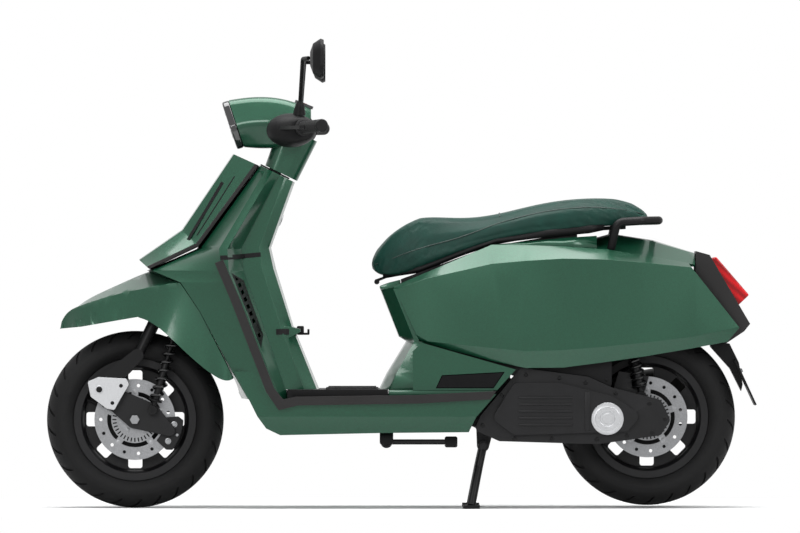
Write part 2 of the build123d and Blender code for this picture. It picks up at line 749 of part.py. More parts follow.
# Front mudguard: a thin beak from the spine's foot to its tip, flared back to the shield.
GUARD = (
    (914, 486, 12, 485, 16, 478),
    (856, 546, 46, 541, 62, 484),
    (776, 588, 80, 566, 100, 498),
    (709, 618, 106, 582, 124, 510),
    (664, 634, 128, 590, 148, 494),
    (588, 640, 160, 602, 174, 430),
    (500, 650, 182, 560, 186, 356),
    (444, 650, 184, 500, 188, 350),
)
GUARD_WALL = 4.0
SEAM = trace(
    (690, 640), (672, 632), (588, 601), (536, 525), (488, 432), (446, 348),
)
with BuildPart() as front_mudguard:
    for x, top, ridge_y, ridge_z, edge_y, edge_z in GUARD:
        with BuildSketch(across(at(x))):
            w = GUARD_WALL
            with BuildLine():
                Polyline(
                    *both_sides([
                        (0, top - w), (ridge_y - w, ridge_z - w), (edge_y - w, edge_z),
                        (edge_y, edge_z), (ridge_y, ridge_z), (0, top),
                    ]),
                    close=True,
                )
            make_face()
    loft()
    with BuildSketch(side(260)):
        with BuildLine():
            Polyline(*[(x + 1.5, z) for x, z in SEAM], *trace((400, 300), (300, 400), (300, 800), (690, 800)),
                     close=True)
        make_face()
    extrude(amount=520, mode=Mode.SUBTRACT)
    add(leg_shield.part, mode=Mode.SUBTRACT)
    add(front_spine.part, mode=Mode.SUBTRACT)
    add(spine_trim.part, mode=Mode.SUBTRACT)

# Floor: a board between the sills with two ribbed mats on it.
with BuildPart() as floor_board:
    with BuildSketch(side(196)):
        with BuildLine():
            Polyline(*trace((304, 286), (304, 318), (36, 318), (36, 286)), close=True)
        make_face()
    extrude(amount=392)
    with BuildSketch(Plane.XY.offset(274.2)):
        with Locations(((at(-60) + at(270)) / 2, 0)):
            Rectangle(at(270) - at(-60), 270)
    extrude(amount=22)
    add(leg_shield.part, mode=Mode.SUBTRACT)
    add(knee_panel.part, mode=Mode.SUBTRACT)
    add(edge_trim.part, mode=Mode.SUBTRACT)

MAT_LENGTH = at(202) - at(62)
MAT_MIDDLE = (at(202) + at(62)) / 2
MAT_Y = 112.0
with BuildPart() as floor_mats:
    with BuildSketch(Plane.XY.offset(318)):
        with Locations((MAT_MIDDLE, MAT_Y), (MAT_MIDDLE, -MAT_Y)):
            RectangleRounded(MAT_LENGTH, 130, 14)
    extrude(amount=3)
    with BuildSketch(Plane.XY.offset(318)):
        with Locations((MAT_MIDDLE, MAT_Y), (MAT_MIDDLE, -MAT_Y)):
            with GridLocations(0, 20, 1, 6):
                Rectangle(MAT_LENGTH - 12, 9)
    extrude(amount=6)

# Under-seat panel: the front of the body under the seat, pinched at the waist, flared to the sill.
with BuildPart() as under_seat_panel:
    for z, half in (
        (318.2, [(60, 0), (56, 100), (30, 165), (-190, 186), (-190, 140), (-20, 120), (-20, 0)]),
        (360, [(40, 0), (36, 104), (14, 166), (-200, 188), (-200, 140), (-30, 120), (-30, 0)]),
        (445, [(-12, 0), (-16, 104), (-34, 160), (-56, 170), (-58, 140), (-60, 120), (-60, 0)]),
    ):
        with BuildSketch(Plane.XY.offset(z)):
            with BuildLine():
                Polyline(*both_sides_level(half), close=True)
            make_face()
    loft(ruled=True)
    for z, half in (
        (445, [(-12, 0), (-16, 104), (-34, 160), (-48, 160), (-60, 120), (-60, 0)]),
        (458, [(8, 0), (6, 104), (-30, 156), (-42, 156), (-50, 118), (-50, 0)]),
        (586, [(58, 0), (56, 100), (22, 148), (12, 148), (2, 112), (2, 0)]),
    ):
        with BuildSketch(Plane.XY.offset(z)):
            with BuildLine():
                Polyline(*both_sides_level(half), close=True)
            make_face()
    loft(ruled=True)
    for outer in (192.0, -150.0):
        with BuildSketch(side(outer)):
            with BuildLine():
                Polyline(*trace((-30, 316), (-30, 420), (-54, 442), (-304, 371), (-254, 316)), close=True)
            make_face()
        extrude(amount=42)
    with BuildSketch(side(200)):
        with BuildLine():
            Polyline(*trace((-107, 356), (-275, 365), (-245, 321), (-91, 321)), close=True)
        make_face()
    extrude(amount=20, mode=Mode.SUBTRACT)
    with BuildSketch(side(-180)):
        with BuildLine():
            Polyline(*trace((-107, 356), (-275, 365), (-245, 321), (-91, 321)), close=True)
        make_face()
    extrude(amount=20, mode=Mode.SUBTRACT)
    add(leg_shield.part, mode=Mode.SUBTRACT)
    add(floor_board.part, mode=Mode.SUBTRACT)
    add(edge_trim.part, mode=Mode.SUBTRACT)
    add(frame.part, mode=Mode.SUBTRACT)

with BuildPart() as side_insets:
    with BuildSketch(side(188)):
        with BuildLine():
            Polyline(*trace((-107.3, 355.7), (-274.4, 364.6), (-244.8, 321.3), (-91.2, 321.3)), close=True)
        make_face()
    extrude(amount=8)
    mirror(about=Plane.XZ)

# Side panels: faceted covers with a raised crease along the top and another along the bottom.
PANEL = (
    (60, 576, 122, 568, 130, 520, 132, 500, 128),
    (-70, 631, 150, 614, 178, 446, 180, 440, 172),
    (-240, 703, 160, 652, 199, 428, 203, 394, 184),
    (-330, 702, 164, 660, 206, 420, 209, 375, 186),
    (-430, 699, 165, 666, 207, 423, 209, 376, 184),
    (-540, 691, 160, 664, 200, 432, 203, 390, 176),
    (-650, 674, 148, 655, 184, 443, 188, 406, 164),
    (-780, 652, 122, 642, 150, 459, 154, 428, 136),
    (-910, 630, 92, 626, 106, 486, 112, 452, 102),
)
PANEL_WALL = 5.0
with BuildPart() as side_panel_left:
    for x, top_z, top_y, up_z, up_y, low_z, low_y, foot_z, foot_y in PANEL:
        w = PANEL_WALL
        with BuildSketch(across(at(x))):
            with BuildLine():
                Polyline(
                    (top_y - w, top_z), (top_y, top_z), (up_y, up_z), (low_y, low_z), (foot_y, foot_z),
                    (foot_y - w, foot_z), (low_y - w, low_z + 1), (up_y - w, up_z - 2), close=True,
                )
            make_face()
    loft(ruled=True)
    with BuildSketch(side(300)):
        with BuildLine():
            Polyline(*trace((24, 597), (-49, 443), (-49, 300), (200, 300), (200, 800), (60, 800)), close=True)
        make_face()
    extrude(amount=300, mode=Mode.SUBTRACT)
    with BuildSketch(side(300)):
        with BuildLine():
            Polyline(*trace((-760, 662), (-772, 643), (-901, 482), (-862, 436), (-862, 300), (-1000, 300),
                            (-1000, 800), (-760, 800)), close=True)
        make_face()
    extrude(amount=300, mode=Mode.SUBTRACT)
    add(under_seat_panel.part, mode=Mode.SUBTRACT)

with BuildPart() as side_panel_right:
    add(mirror(side_panel_left.part, about=Plane.XZ, mode=Mode.PRIVATE))

# Storage bin under the seat: an open box that stands on the frame rails with two feet.
with BuildPart() as storage_bin:
    with BuildSketch(side(136)):
        with BuildLine():
            Polyline(*trace((-66, 448), (0, 590), (2, 611), (-240, 700), (-470, 716), (-470, 560), (-420, 458), (-380, 448)), close=True)
        make_face()
    extrude(amount=272)
    with BuildSketch(side(131)):
        with BuildLine():
            Polyline(*trace((-68, 454), (-5, 590), (-3, 640), (-240, 740), (-465, 750), (-465, 562), (-418, 464), (-380, 454)), close=True)
        make_face()
    extrude(amount=262, mode=Mode.SUBTRACT)
    for outer in (120, -96):
        with BuildSketch(side(outer)):
            with BuildLine():
                Polyline(*trace((-350, 400), (-350, 452), (-380, 452), (-380, 400)), close=True)
            make_face()
        extrude(amount=24)
    add(frame.part, mode=Mode.SUBTRACT)
    add(under_seat_panel.part, mode=Mode.SUBTRACT)
    add(side_panel_left.part, mode=Mode.SUBTRACT)
    add(side_panel_right.part, mode=Mode.SUBTRACT)

# Grab rail: a tube from the tail up past the seat's sides and round its rear end.
RAIL_HALF = [(at(-556), 132, 684), (at(-574), 157, 763), (at(-640), 148, 767), (at(-686), 106, 768)]
with BuildPart() as grab_rail:
    with BuildLine():
        FilletPolyline(*RAIL_HALF, *[(x, -y, z) for x, y, z in reversed(RAIL_HALF)], radius=22)
    with BuildSketch(Plane(origin=RAIL_HALF[0], z_dir=Vector(*RAIL_HALF[1]) - Vector(*RAIL_HALF[0]))):
        Circle(11)
    sweep()
    add(side_panel_left.part, mode=Mode.SUBTRACT)
    add(side_panel_right.part, mode=Mode.SUBTRACT)

# Tail cowl: the top of the tail between the side panels, from the seat to the lamp.
TAIL = (
    (-480, 712, 60, 706, 158, 690),
    (-560, 733, 60, 728, 152, 686),
    (-672, 716, 56, 712, 138, 670),
    (-782, 682, 50, 680, 118, 650),
)
with BuildPart() as tail_cowl:
    for x, top, mid_y, mid_z, edge_y, edge_z in TAIL:
        with BuildSketch(across(at(x))):
            with BuildLine():
                Polyline(
                    *both_sides([
                        (0, top - 6), (mid_y - 2, mid_z - 6), (edge_y - 4, edge_z - 6), (edge_y, edge_z),
                        (mid_y, mid_z), (0, top),
                    ]),
                    close=True,
                )
            make_face()
    loft(ruled=True)
    add(side_panel_left.part, mode=Mode.SUBTRACT)
    add(side_panel_right.part, mode=Mode.SUBTRACT)
    add(storage_bin.part, mode=Mode.SUBTRACT)
    add(grab_rail.part, mode=Mode.SUBTRACT)

# Tail lamp: a dark housing between the panels' rear edges and a red lens in its slope.
with BuildPart() as tail_lamp_housing:
    with BuildSketch(side(100)):
        with BuildLine():
            Polyline(*trace((-784, 640), (-786, 686), (-822, 676), (-930, 492), (-914, 472), (-866, 440), (-790, 470)), close=True)
        make_face()
    extrude(amount=200)
    with BuildSketch(side(78)):
        with BuildLine():
            Polyline(*trace((-806, 662), (-860, 690), (-960, 560), (-898, 540)), close=True)
        make_face()
    extrude(amount=156, mode=Mode.SUBTRACT)
    add(side_panel_left.part, mode=Mode.SUBTRACT)
    add(side_panel_right.part, mode=Mode.SUBTRACT)
    add(tail_cowl.part, mode=Mode.SUBTRACT)
    add(frame.part, mode=Mode.SUBTRACT)

with BuildPart() as tail_lamp_lens:
    with BuildSketch(side(77.7)):
        with BuildLine():
            Polyline(*trace((-806.4, 661.6), (-840, 671), (-928, 569), (-898.4, 541)), close=True)
        make_face()
    extrude(amount=155.4)
    add(tail_lamp_housing.part, mode=Mode.SUBTRACT)

# Plate holder: a sloped arm under the lamp with a blank board, two bolt holes in the board.
PLATE_BOLT_PITCH = 100.0
PLATE_BOLT_UP = 100.0
PLATE_BOLT_R = 3.2
with BuildPart() as plate_holder:
    with BuildSketch(side(34)):
        with BuildLine():
            Polyline(*trace((-820, 462), (-862, 441), (-877, 439), (-902, 388), (-912, 330), (-908, 312), (-878, 372), (-826, 430)), close=True)
        make_face()
    extrude(amount=68)
    with BuildSketch(slanted((-OVERALL_LENGTH / 2, 276), (at(-890), 402))):
        with Locations((0, 68)):
            RectangleRounded(150, 136, 8)
        with Locations((PLATE_BOLT_PITCH / 2, PLATE_BOLT_UP), (-PLATE_BOLT_PITCH / 2, PLATE_BOLT_UP)):
            Circle(PLATE_BOLT_R, mode=Mode.SUBTRACT)
    extrude(amount=5)
    add(tail_lamp_housing.part, mode=Mode.SUBTRACT)

# Seat: a cushion on a pan, hinged at the front edge.
SEAT = (
    (84, 654, 668, 56, 50),
    (50, 622, 712, 96, 80),
    (-48, 640, 773, 128, 104),
    (-150, 680, 774, 146, 118),
    (-253, 714, 784, 158, 126),
    (-392, 738, 815, 164, 126),
    (-503, 750, 826, 154, 116),
    (-598, 755, 820, 132, 96),
    (-662, 762, 790, 98, 70),
)
with BuildPart() as seat_cushion:
    for x, low, top, wide, crown in SEAT:
        with BuildSketch(across(at(x))):
            with BuildLine():
                knee = low + 0.62 * (top - low)
                Polyline(
                    *both_sides([(0, low), (wide - 14, low), (wide, low + 0.25 * (top - low)), (wide - 4, knee),
                                 (crown, top - 4), (crown * 0.5, top), (0, top)]),
                    close=True,
                )
            make_face()
    loft()

with BuildPart() as seat_base:
    for x, low, top, wide, crown in SEAT[1:-1]:
        with BuildSketch(across(at(x))):
            with BuildLine():
                Polyline(*both_sides([(0, low - 10), (wide - 26, low - 10), (wide - 20, low - 0.2), (0, low - 0.2)]),
                         close=True)
            make_face()
    loft(ruled=True)
    with BuildSketch(side(40)):
        with Locations(SEAT_HINGE):
            Circle(7)
    extrude(amount=80)
    with BuildSketch(side(40)):
        with BuildLine():
            Polyline((at(40), 614), (at(40), 621), (SEAT_HINGE[0] + 5, SEAT_HINGE[1] + 6), (SEAT_HINGE[0] - 6, SEAT_HINGE[1] + 2),
                     close=True)
        make_face()
    extrude(amount=80)
    add(seat_cushion.part, mode=Mode.SUBTRACT)

# Engine: a plain crankcase block with its cylinder towards the front, hung from the rails.
with BuildPart() as engine_block:
    with BuildSketch(side(70)):
        with BuildLine():
            Polyline(*trace((-150, 236), (-150, 330), (-250, 352), (-390, 330), (-402, 250), (-380, 196), (-250, 190)), close=True)
        make_face()
    extrude(amount=142)
    with BuildSketch(side(92)):
        with BuildLine():
            Polyline(*trace((-200, 330), (-250, 400), (-290, 400), (-290, 330)), close=True)
        make_face()
    extrude(amount=184)
    with BuildSketch(side(60)):
        with Locations(STAND_PIVOT):
            Circle(16)
        with Locations((STAND_PIVOT[0] - 6, STAND_PIVOT[1] + 54)):
            Circle(24)
        make_hull()
    extrude(amount=120)
    with BuildSketch(side(102)):
        with Locations(STAND_PIVOT):
            Circle(9)
    extrude(amount=204)
    add(frame.part, mode=Mode.SUBTRACT)

SHOCK_TOP = (at(-604.0), 90.0, 486.0)
SHOCK_LOW = (at(-640.0), 90.0, 300.0)
rear_shock = make_shock(SHOCK_LOW, SHOCK_TOP, 20, 7)
with BuildPart() as rear_shocks:
    add(rear_shock)
    add(frame.part, mode=Mode.SUBTRACT)
    mirror(about=Plane.XZ)

# Transmission case on the left: its front follows the slope of the sill's rear end.
with BuildPart() as transmission_case:
    with BuildSketch(side(164)):
        with BuildLine():
            FilletPolyline(*trace((-194, 210), (-211, 249), (-267, 315), (-318, 376), (-420, 362), (-497, 352), (-563, 322), (-690, 290), (-716, 236), (-690, 196), (-620, 186), (-523, 172), (-260, 180)), radius=12, close=True)
        make_face()
    extrude(amount=90)
    with BuildSketch(side(176)):
        with BuildLine():
            FilletPolyline(*trace((-240, 240), (-300, 336), (-420, 336), (-560, 300), (-640, 250), (-600, 206), (-300, 196)), radius=20, close=True)
        make_face()
    extrude(amount=20)
    with BuildSketch(side(84)):
        with BuildLine():
            Polyline(*trace((-640, 280), (-660, 352), (-580, 366), (-560, 300)), close=True)
        make_face()
    extrude(amount=15)
    with BuildSketch(side(110)):
        with Locations((REAR_AXLE_X, REAR_AXLE_Z)):
            Circle(AXLE_R + 0.1)
    extrude(amount=60, mode=Mode.SUBTRACT)
    add(engine_block.part, mode=Mode.SUBTRACT)
    add(rear_caliper, mode=Mode.SUBTRACT)
    add(rear_shocks.part, mode=Mode.SUBTRACT)
    add(under_seat_panel.part, mode=Mode.SUBTRACT)
    add(leg_shield.part, mode=Mode.SUBTRACT)

with BuildPart() as transmission_cap:
    with BuildSketch(side(184)):
        with Locations((at(-548), 240)):
            Circle(33)
    extrude(amount=8)
    with BuildSketch(side(180)):
        with Locations((at(-548), 240)):
            Circle(43)
    extrude(amount=4)

with BuildPart() as air_filter_box:
    with BuildSketch(side(150)):
        with BuildLine():
            FilletPolyline(*trace((-330, 360), (-330, 408), (-560, 412), (-560, 318)), radius=14, close=True)
        make_face()
    extrude(amount=22)
    add(transmission_case.part, mode=Mode.SUBTRACT)
    add(frame.part, mode=Mode.SUBTRACT)

# Right arm: it carries the axle's right end and the silencer's bracket.
with BuildPart() as rear_arm:
    with BuildSketch(side(-72.2)):
        with Locations((at(-352), 280)):
            Circle(40)
        with Locations((REAR_AXLE_X, REAR_AXLE_Z)):
            Circle(34)
        with Locations((SHOCK_LOW[0], SHOCK_LOW[2])):
            Circle(20)
        make_hull()
        with Locations((REAR_AXLE_X, REAR_AXLE_Z)):
            Circle(AXLE_R + 0.1, mode=Mode.SUBTRACT)
    extrude(amount=22)
    add(rear_shocks.part, mode=Mode.SUBTRACT)

with BuildPart() as rear_axle:
    with BuildSketch(side(106)):
        with Locations((REAR_AXLE_X, REAR_AXLE_Z)):
            Circle(AXLE_R)
    extrude(amount=210)
    with BuildSketch(side(-94.3)):
        with Locations((REAR_AXLE_X, REAR_AXLE_Z)):
            RegularPolygon(17, 6)
    extrude(amount=11)

# Exhaust: a header pipe round the engine's right side and a long silencer.
with BuildPart() as exhaust:
    muffler = Plane(origin=(at(-400), -166, 262), x_dir=(0, 1, 0), z_dir=(-1, 0, 0.16))
    with BuildSketch(muffler):
        RectangleRounded(90, 114, 42)
    with BuildSketch(muffler.offset(20)):
        RectangleRounded(100, 128, 47)
    with BuildSketch(muffler.offset(350)):
        RectangleRounded(100, 128, 47)
    with BuildSketch(muffler.offset(390)):
        RectangleRounded(70, 90, 32)
    loft(ruled=True)
    with BuildSketch(muffler.offset(385)):
        with Locations((0, 10)):
            Circle(15)
    extrude(amount=30)
    with BuildLine():
        FilletPolyline((at(-232), -60, 262), (at(-232), -128, 262), (at(-310), -164, 262), (at(-410), -166, 263),
                       radius=24)
    with BuildSketch(Plane(origin=(at(-232), -60, 262), z_dir=(0, -1, 0))):
        Circle(17)
    sweep()
    with BuildSketch(side(-94.3)):
        with BuildLine():
            Polyline(*trace((-470, 266), (-470, 296), (-560, 296), (-560, 266)), close=True)
        make_face()
    extrude(amount=30)
    add(engine_block.part, mode=Mode.SUBTRACT)
    add(rear_arm.part, mode=Mode.SUBTRACT)

# Centre stand: two splayed legs on a tube under the engine, feet flat on the floor.
with BuildPart() as centre_stand:
    with BuildSketch(side(100)):
        with Locations(STAND_PIVOT):
            Circle(13)
    extrude(amount=38)
    with BuildLine():
        FilletPolyline((STAND_PIVOT[0], 88, STAND_PIVOT[1]), (STAND_PIVOT[0] + 12, 102, 110), (STAND_FOOT_X, STAND_FOOT_Y, 8),
                       radius=40)
    with BuildSketch(Plane(origin=(STAND_PIVOT[0], 88, STAND_PIVOT[1]), z_dir=(12, 14, 110 - STAND_PIVOT[1]))):
        Circle(11)
    sweep()
    with BuildSketch(Plane.XY):
        with Locations((STAND_FOOT_X, STAND_FOOT_Y)):
            RectangleRounded(46, 40, 8)
    extrude(amount=10)
    mirror(about=Plane.XZ)
    with BuildSketch(side(112)):
        with Locations((STAND_PIVOT[0] + 16, 92)):
            Circle(9)
    extrude(amount=224)
    with BuildSketch(side(120)):
        with Locations(STAND_PIVOT):
            Circle(9 + RUN_GAP)
    extrude(amount=240, mode=Mode.SUBTRACT)

# Side stand: a leg folded back under the left sill on a pin through the frame's bracket.
with BuildPart() as side_stand:
    with BuildSketch(SIDE_STAND_HUB.offset(-7)):
        Circle(15)
    extrude(amount=14)
    with BuildSketch(Plane(origin=SIDE_STAND_PIVOT, x_dir=(0, 1, 0), z_dir=(-1, 0, 0))):
        Circle(7)
    extrude(amount=SIDE_STAND_LENGTH)
    with BuildSketch(SIDE_STAND_HUB.offset(-7)):
        with Locations((-SIDE_STAND_LENGTH, 0)):
            RectangleRounded(34, 26, 6)
    extrude(amount=14)
    with BuildSketch(SIDE_STAND_HUB.offset(-20)):
        Circle(SIDE_STAND_PIN_R + RUN_GAP)
    extrude(amount=40, mode=Mode.SUBTRACT)

PARTS = {
    "frame": frame.part,
    "leg_shield": leg_shield.part,
    "front_spine": front_spine.part,
    "spine_trim": spine_trim.part,
    "knee_panel": knee_panel.part,
    "vent_grilles": vent_grilles.part,
    "edge_trim": edge_trim.part,
    "front_mudguard": front_mudguard.part,
    "floor_board": floor_board.part,
    "floor_mats": floor_mats.part,
    "under_seat_panel": under_seat_panel.part,
    "side_insets": side_insets.part,
    "side_panel_left": side_panel_left.part,
    "side_panel_right": side_panel_right.part,
    "tail_cowl": tail_cowl.part,
    "tail_lamp_housing": tail_lamp_housing.part,
    "tail_lamp_lens": tail_lamp_lens.part,
    "plate_holder": plate_holder.part,
    "storage_bin": storage_bin.part,
    "grab_rail": grab_rail.part,
    "engine_block": engine_block.part,
    "transmission_case": transmission_case.part,
    "transmission_cap": transmission_cap.part,
    "air_filter_box": air_filter_box.part,
    "exhaust": exhaust.part,
    "rear_shocks": rear_shocks.part,
    "rear_arm": rear_arm.part,
    "rear_axle": rear_axle.part,
    "rear_caliper": rear_caliper,
    "steering_fork": steering_fork.part,
    "fork_links": fork_links.part,
    "front_shocks": front_shocks.part,
    "front_axle": front_axle.part,
    "front_caliper": front_caliper,
    "pivot_covers": pivot_covers.part,
    "handlebar": handlebar.part,
    "grips": grips.part,
    "controls": controls.part,
    "headset_cowl": headset_cowl.part,
    "headlamp": headlamp.part,
    "instrument_panel": instrument_panel.part,
    "mirrors": mirrors.part,
    "mirror_glasses": mirror_glasses.part,
    "front_tyre": front_tyre,
    "front_rim": front_rim,
    "front_disc": front_disc,
    "rear_tyre": rear_tyre,
    "rear_rim": rear_rim,
    "rear_disc": rear_disc,
    "seat_cushion": seat_cushion.part,
    "seat_base": seat_base.part,
    "centre_stand": centre_stand.part,
    "side_stand": side_stand.part,
}
for part_name, shape in PARTS.items():
    shape.label = part_name
    export_step(shape, f"parts/{part_name}.step")
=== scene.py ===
import json
import math

import bmesh
import bpy
from mathutils import Matrix, Vector
from mathutils.bvhtree import BVHTree

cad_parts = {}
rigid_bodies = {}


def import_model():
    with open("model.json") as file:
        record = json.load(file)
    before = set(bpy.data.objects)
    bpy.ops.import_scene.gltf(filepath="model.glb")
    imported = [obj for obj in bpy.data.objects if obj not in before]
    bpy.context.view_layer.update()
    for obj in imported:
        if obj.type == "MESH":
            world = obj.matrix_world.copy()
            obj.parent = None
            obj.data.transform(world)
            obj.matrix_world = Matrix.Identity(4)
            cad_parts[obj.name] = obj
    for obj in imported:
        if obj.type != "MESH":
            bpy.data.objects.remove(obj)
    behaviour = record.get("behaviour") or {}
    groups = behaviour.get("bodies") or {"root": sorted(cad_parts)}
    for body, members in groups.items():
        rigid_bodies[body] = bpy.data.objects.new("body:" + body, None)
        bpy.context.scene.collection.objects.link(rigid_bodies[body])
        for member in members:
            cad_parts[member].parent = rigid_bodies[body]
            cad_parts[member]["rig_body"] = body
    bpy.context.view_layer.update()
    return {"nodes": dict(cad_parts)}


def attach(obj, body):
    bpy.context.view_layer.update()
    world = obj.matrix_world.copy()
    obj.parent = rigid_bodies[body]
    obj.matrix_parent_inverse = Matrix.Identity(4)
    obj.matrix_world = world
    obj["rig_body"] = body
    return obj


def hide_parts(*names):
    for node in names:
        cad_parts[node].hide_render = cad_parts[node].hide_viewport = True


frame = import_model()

# Frame: bent and welded steel tube, powder coated satin black.
# The head tube, the floor rails and the tail loop carry every panel, and the panels hide most of them.


def hex_colour(code):
    """Turn an sRGB hex colour into linear RGBA."""
    parts = [int(code[i:i + 2], 16) / 255 for i in (1, 3, 5)]
    return [c / 12.92 if c <= 0.04045 else ((c + 0.055) / 1.055) ** 2.4 for c in parts] + [1.0]


def put(tree, kind, values=None, links=None, feeds=None, ramp=None, **settings):
    """Add a node: its settings, inputs, links from (node, output) pairs, and the socket it feeds."""
    made = tree.nodes.new(kind)
    for key, value in settings.items():
        setattr(made, key, value)
    for key, value in (values or {}).items():
        made.inputs[key].default_value = value
    for key, (source, output) in (links or {}).items():
        tree.links.new(source.outputs[output], made.inputs[key])
    for stop, code in zip(made.color_ramp.elements if ramp else (), ramp or ()):
        stop.color = hex_colour(code)
    if feeds:
        output, target, socket = feeds
        tree.links.new(made.outputs[output], target.inputs[socket])
    return made


def new_finish(name, colour, **surface):
    """A material with one Principled surface of this colour, its nodes and its Object coordinates."""
    made = bpy.data.materials.new(name)
    made.use_nodes = True
    tree = made.node_tree
    skin = tree.nodes["Principled BSDF"]
    skin.inputs["Base Color"].default_value = hex_colour(colour)
    for socket, value in surface.items():
        skin.inputs[socket.replace("_", " ")].default_value = value
    return made, tree, skin, {"Vector": (tree.nodes.new("ShaderNodeTexCoord"), "Object")}


def tint(tree, skin, pattern, dark, pale, output="Fac"):
    """Colour a surface between two hex colours by a pattern."""
    put(tree, "ShaderNodeValToRGB", None, {"Fac": (pattern, output)}, ("Color", skin, "Base Color"),
        (dark, pale))


def emboss(tree, skin, pattern, strength, depth, output="Fac"):
    """Raise a pattern on a surface by a bump of this strength and depth in metres."""
    put(tree, "ShaderNodeBump", {"Strength": strength, "Distance": depth}, {"Height": (pattern, output)},
        ("Normal", skin, "Normal"))


def roughen(tree, skin, pattern, low, high):
    """Let a surface's roughness wander between two values by a pattern."""
    put(tree, "ShaderNodeMapRange", {"To Min": low, "To Max": high}, {"Value": (pattern, "Fac")},
        ("Result", skin, "Roughness"))


def dressed(node, material, edge_mm=1.2, sharp_deg=32, segments=2):
    """A joined copy of a CAD node whose sharp edges get a small round, as a pressed or moulded part has."""
    source = frame["nodes"][node]
    mesh = source.data.copy()
    shape = bmesh.new()
    shape.from_mesh(mesh)
    bmesh.ops.remove_doubles(shape, verts=shape.verts, dist=0.00002)
    bmesh.ops.dissolve_limit(shape, angle_limit=math.radians(0.4), verts=shape.verts, edges=shape.edges)
    for face in shape.faces:
        face.smooth = True
    shape.to_mesh(mesh)
    shape.free()
    mesh.materials.clear()
    mesh.materials.append(material)
    mesh.set_sharp_from_angle(angle=math.radians(sharp_deg))
    piece = bpy.data.objects.new(node + "_skin", mesh)
    bpy.context.scene.collection.objects.link(piece)
    if edge_mm > 0:
        rounding = piece.modifiers.new("edge_round", "BEVEL")
        rounding.width = edge_mm / 1000
        rounding.segments = segments
        rounding.limit_method = "ANGLE"
        rounding.angle_limit = math.radians(sharp_deg)
        rounding.use_clamp_overlap = True
        rounding.harden_normals = True
        rounding.miter_outer = "MITER_ARC"
    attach(piece, source["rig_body"])
    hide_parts(node)
    return piece


# Powder coat: an orange-peel skin about 1.2 mm across, satin, a little dusty in broad patches.
powder_coat, tree, skin, where = new_finish(
    "powder_coated_steel", "#080809", Roughness=0.42, IOR=1.5, Specular_IOR_Level=0.18,
)
peel = put(tree, "ShaderNodeTexNoise", {"Scale": 850.0, "Detail": 2.0}, where)
emboss(tree, skin, peel, 0.12, 0.0004)
dust = put(tree, "ShaderNodeTexNoise", {"Scale": 16.0, "Detail": 5.0}, where)
tint(tree, skin, dust, "#060607", "#0d0d0e")
dressed("frame", powder_coat, 0.8)

# Engine: a sand-cast aluminium crankcase painted black, with a finned cylinder lying towards the front.
# It hangs between the floor rails; the fins are part of the barrel's casting.


def fit(name, shape, material, body, stands_for=(), smooth_deg=34):
    """Turn a finished bmesh into a piece with a material that rides on a body."""
    bmesh.ops.recalc_face_normals(shape, faces=shape.faces)
    for face in shape.faces:
        face.smooth = True
    mesh = bpy.data.meshes.new(name)
    shape.to_mesh(mesh)
    shape.free()
    mesh.set_sharp_from_angle(angle=math.radians(smooth_deg))
    mesh.materials.append(material)
    piece = bpy.data.objects.new(name, mesh)
    bpy.context.scene.collection.objects.link(piece)
    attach(piece, body)
    if stands_for:
        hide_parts(*stands_for)
    return piece


def add_rounded(shape, spot, round_mm):
    """A unit cube sized and placed by a matrix, with its edges rounded."""
    made = bmesh.ops.create_cube(shape, size=1.0, matrix=spot)["verts"]
    bmesh.ops.bevel(
        shape, geom=list({edge for vert in made for edge in vert.link_edges}), offset=round_mm / 1000,
        affect="EDGES", segments=2, profile=0.5, material=-1, clamp_overlap=True,
    )


def add_block(shape, low, high, round_mm=1.0):
    """A block with rounded edges between two corners in millimetres."""
    low, high = Vector(low) / 1000, Vector(high) / 1000
    spot = Matrix.Translation((low + high) / 2) @ Matrix.Diagonal((high - low).to_4d())
    add_rounded(shape, spot, round_mm)


# Cast black: a sand-cast grain of about 1.6 mm under thin satin paint.
cast_black, tree, skin, where = new_finish(
    "black_cast_aluminium", "#0a0a0b", Roughness=0.38, IOR=1.5, Specular_IOR_Level=0.25,
)
sand = put(tree, "ShaderNodeTexNoise", {"Scale": 620.0, "Detail": 4.0}, where)
emboss(tree, skin, sand, 0.22, 0.0004)
grime = put(tree, "ShaderNodeTexNoise", {"Scale": 22.0, "Detail": 6.0}, where)
tint(tree, skin, grime, "#070708", "#101012")
roughen(tree, skin, grime, 0.36, 0.58)
dressed("engine_block", cast_black, 2.0)
FIN_PITCH, FIN_THICK, FINS = 9.0, 3.0, 5
barrel = bmesh.new()
for i in range(FINS):
    x = -158 - FIN_PITCH * i
    add_block(barrel, (x - FIN_THICK, -79, 236), (x, 79, 326), 1.2)
fit("cylinder_fins", barrel, cast_black, "chassis")

# Transmission: a die-cast case on the left side with a raised cover, ribbed and bolted round its edge.
# The belt's end shows as a round satin aluminium cap, and the air filter box sits on top of the case.


def aimed(place, heading):
    """Matrix that takes a shape drawn along Z to a place in millimetres, pointing along a heading."""
    turn = Vector(heading).to_track_quat("Z", "Y").to_matrix().to_4x4()
    return Matrix.Translation(Vector(place) / 1000) @ turn


def add_turned(shape, profile, spot, steps=32, ring=False):
    """Spin a profile of (radius, height) points in millimetres round Z and put it at its spot."""
    before = set(shape.verts)
    verts = [shape.verts.new((r / 1000, 0, h / 1000)) for r, h in profile]
    edges = [shape.edges.new(pair) for pair in zip(verts, verts[1:] + verts[:1] if ring else verts[1:])]
    bmesh.ops.spin(
        shape, geom=verts + edges, cent=(0, 0, 0), axis=(0, 0, 1), dvec=(0, 0, 0), angle=math.tau,
        steps=steps, use_merge=True, use_duplicate=False,
    )
    bmesh.ops.remove_doubles(shape, verts=[v for v in shape.verts if v not in before], dist=0.000002)
    bmesh.ops.transform(shape, matrix=spot, verts=[v for v in shape.verts if v not in before])


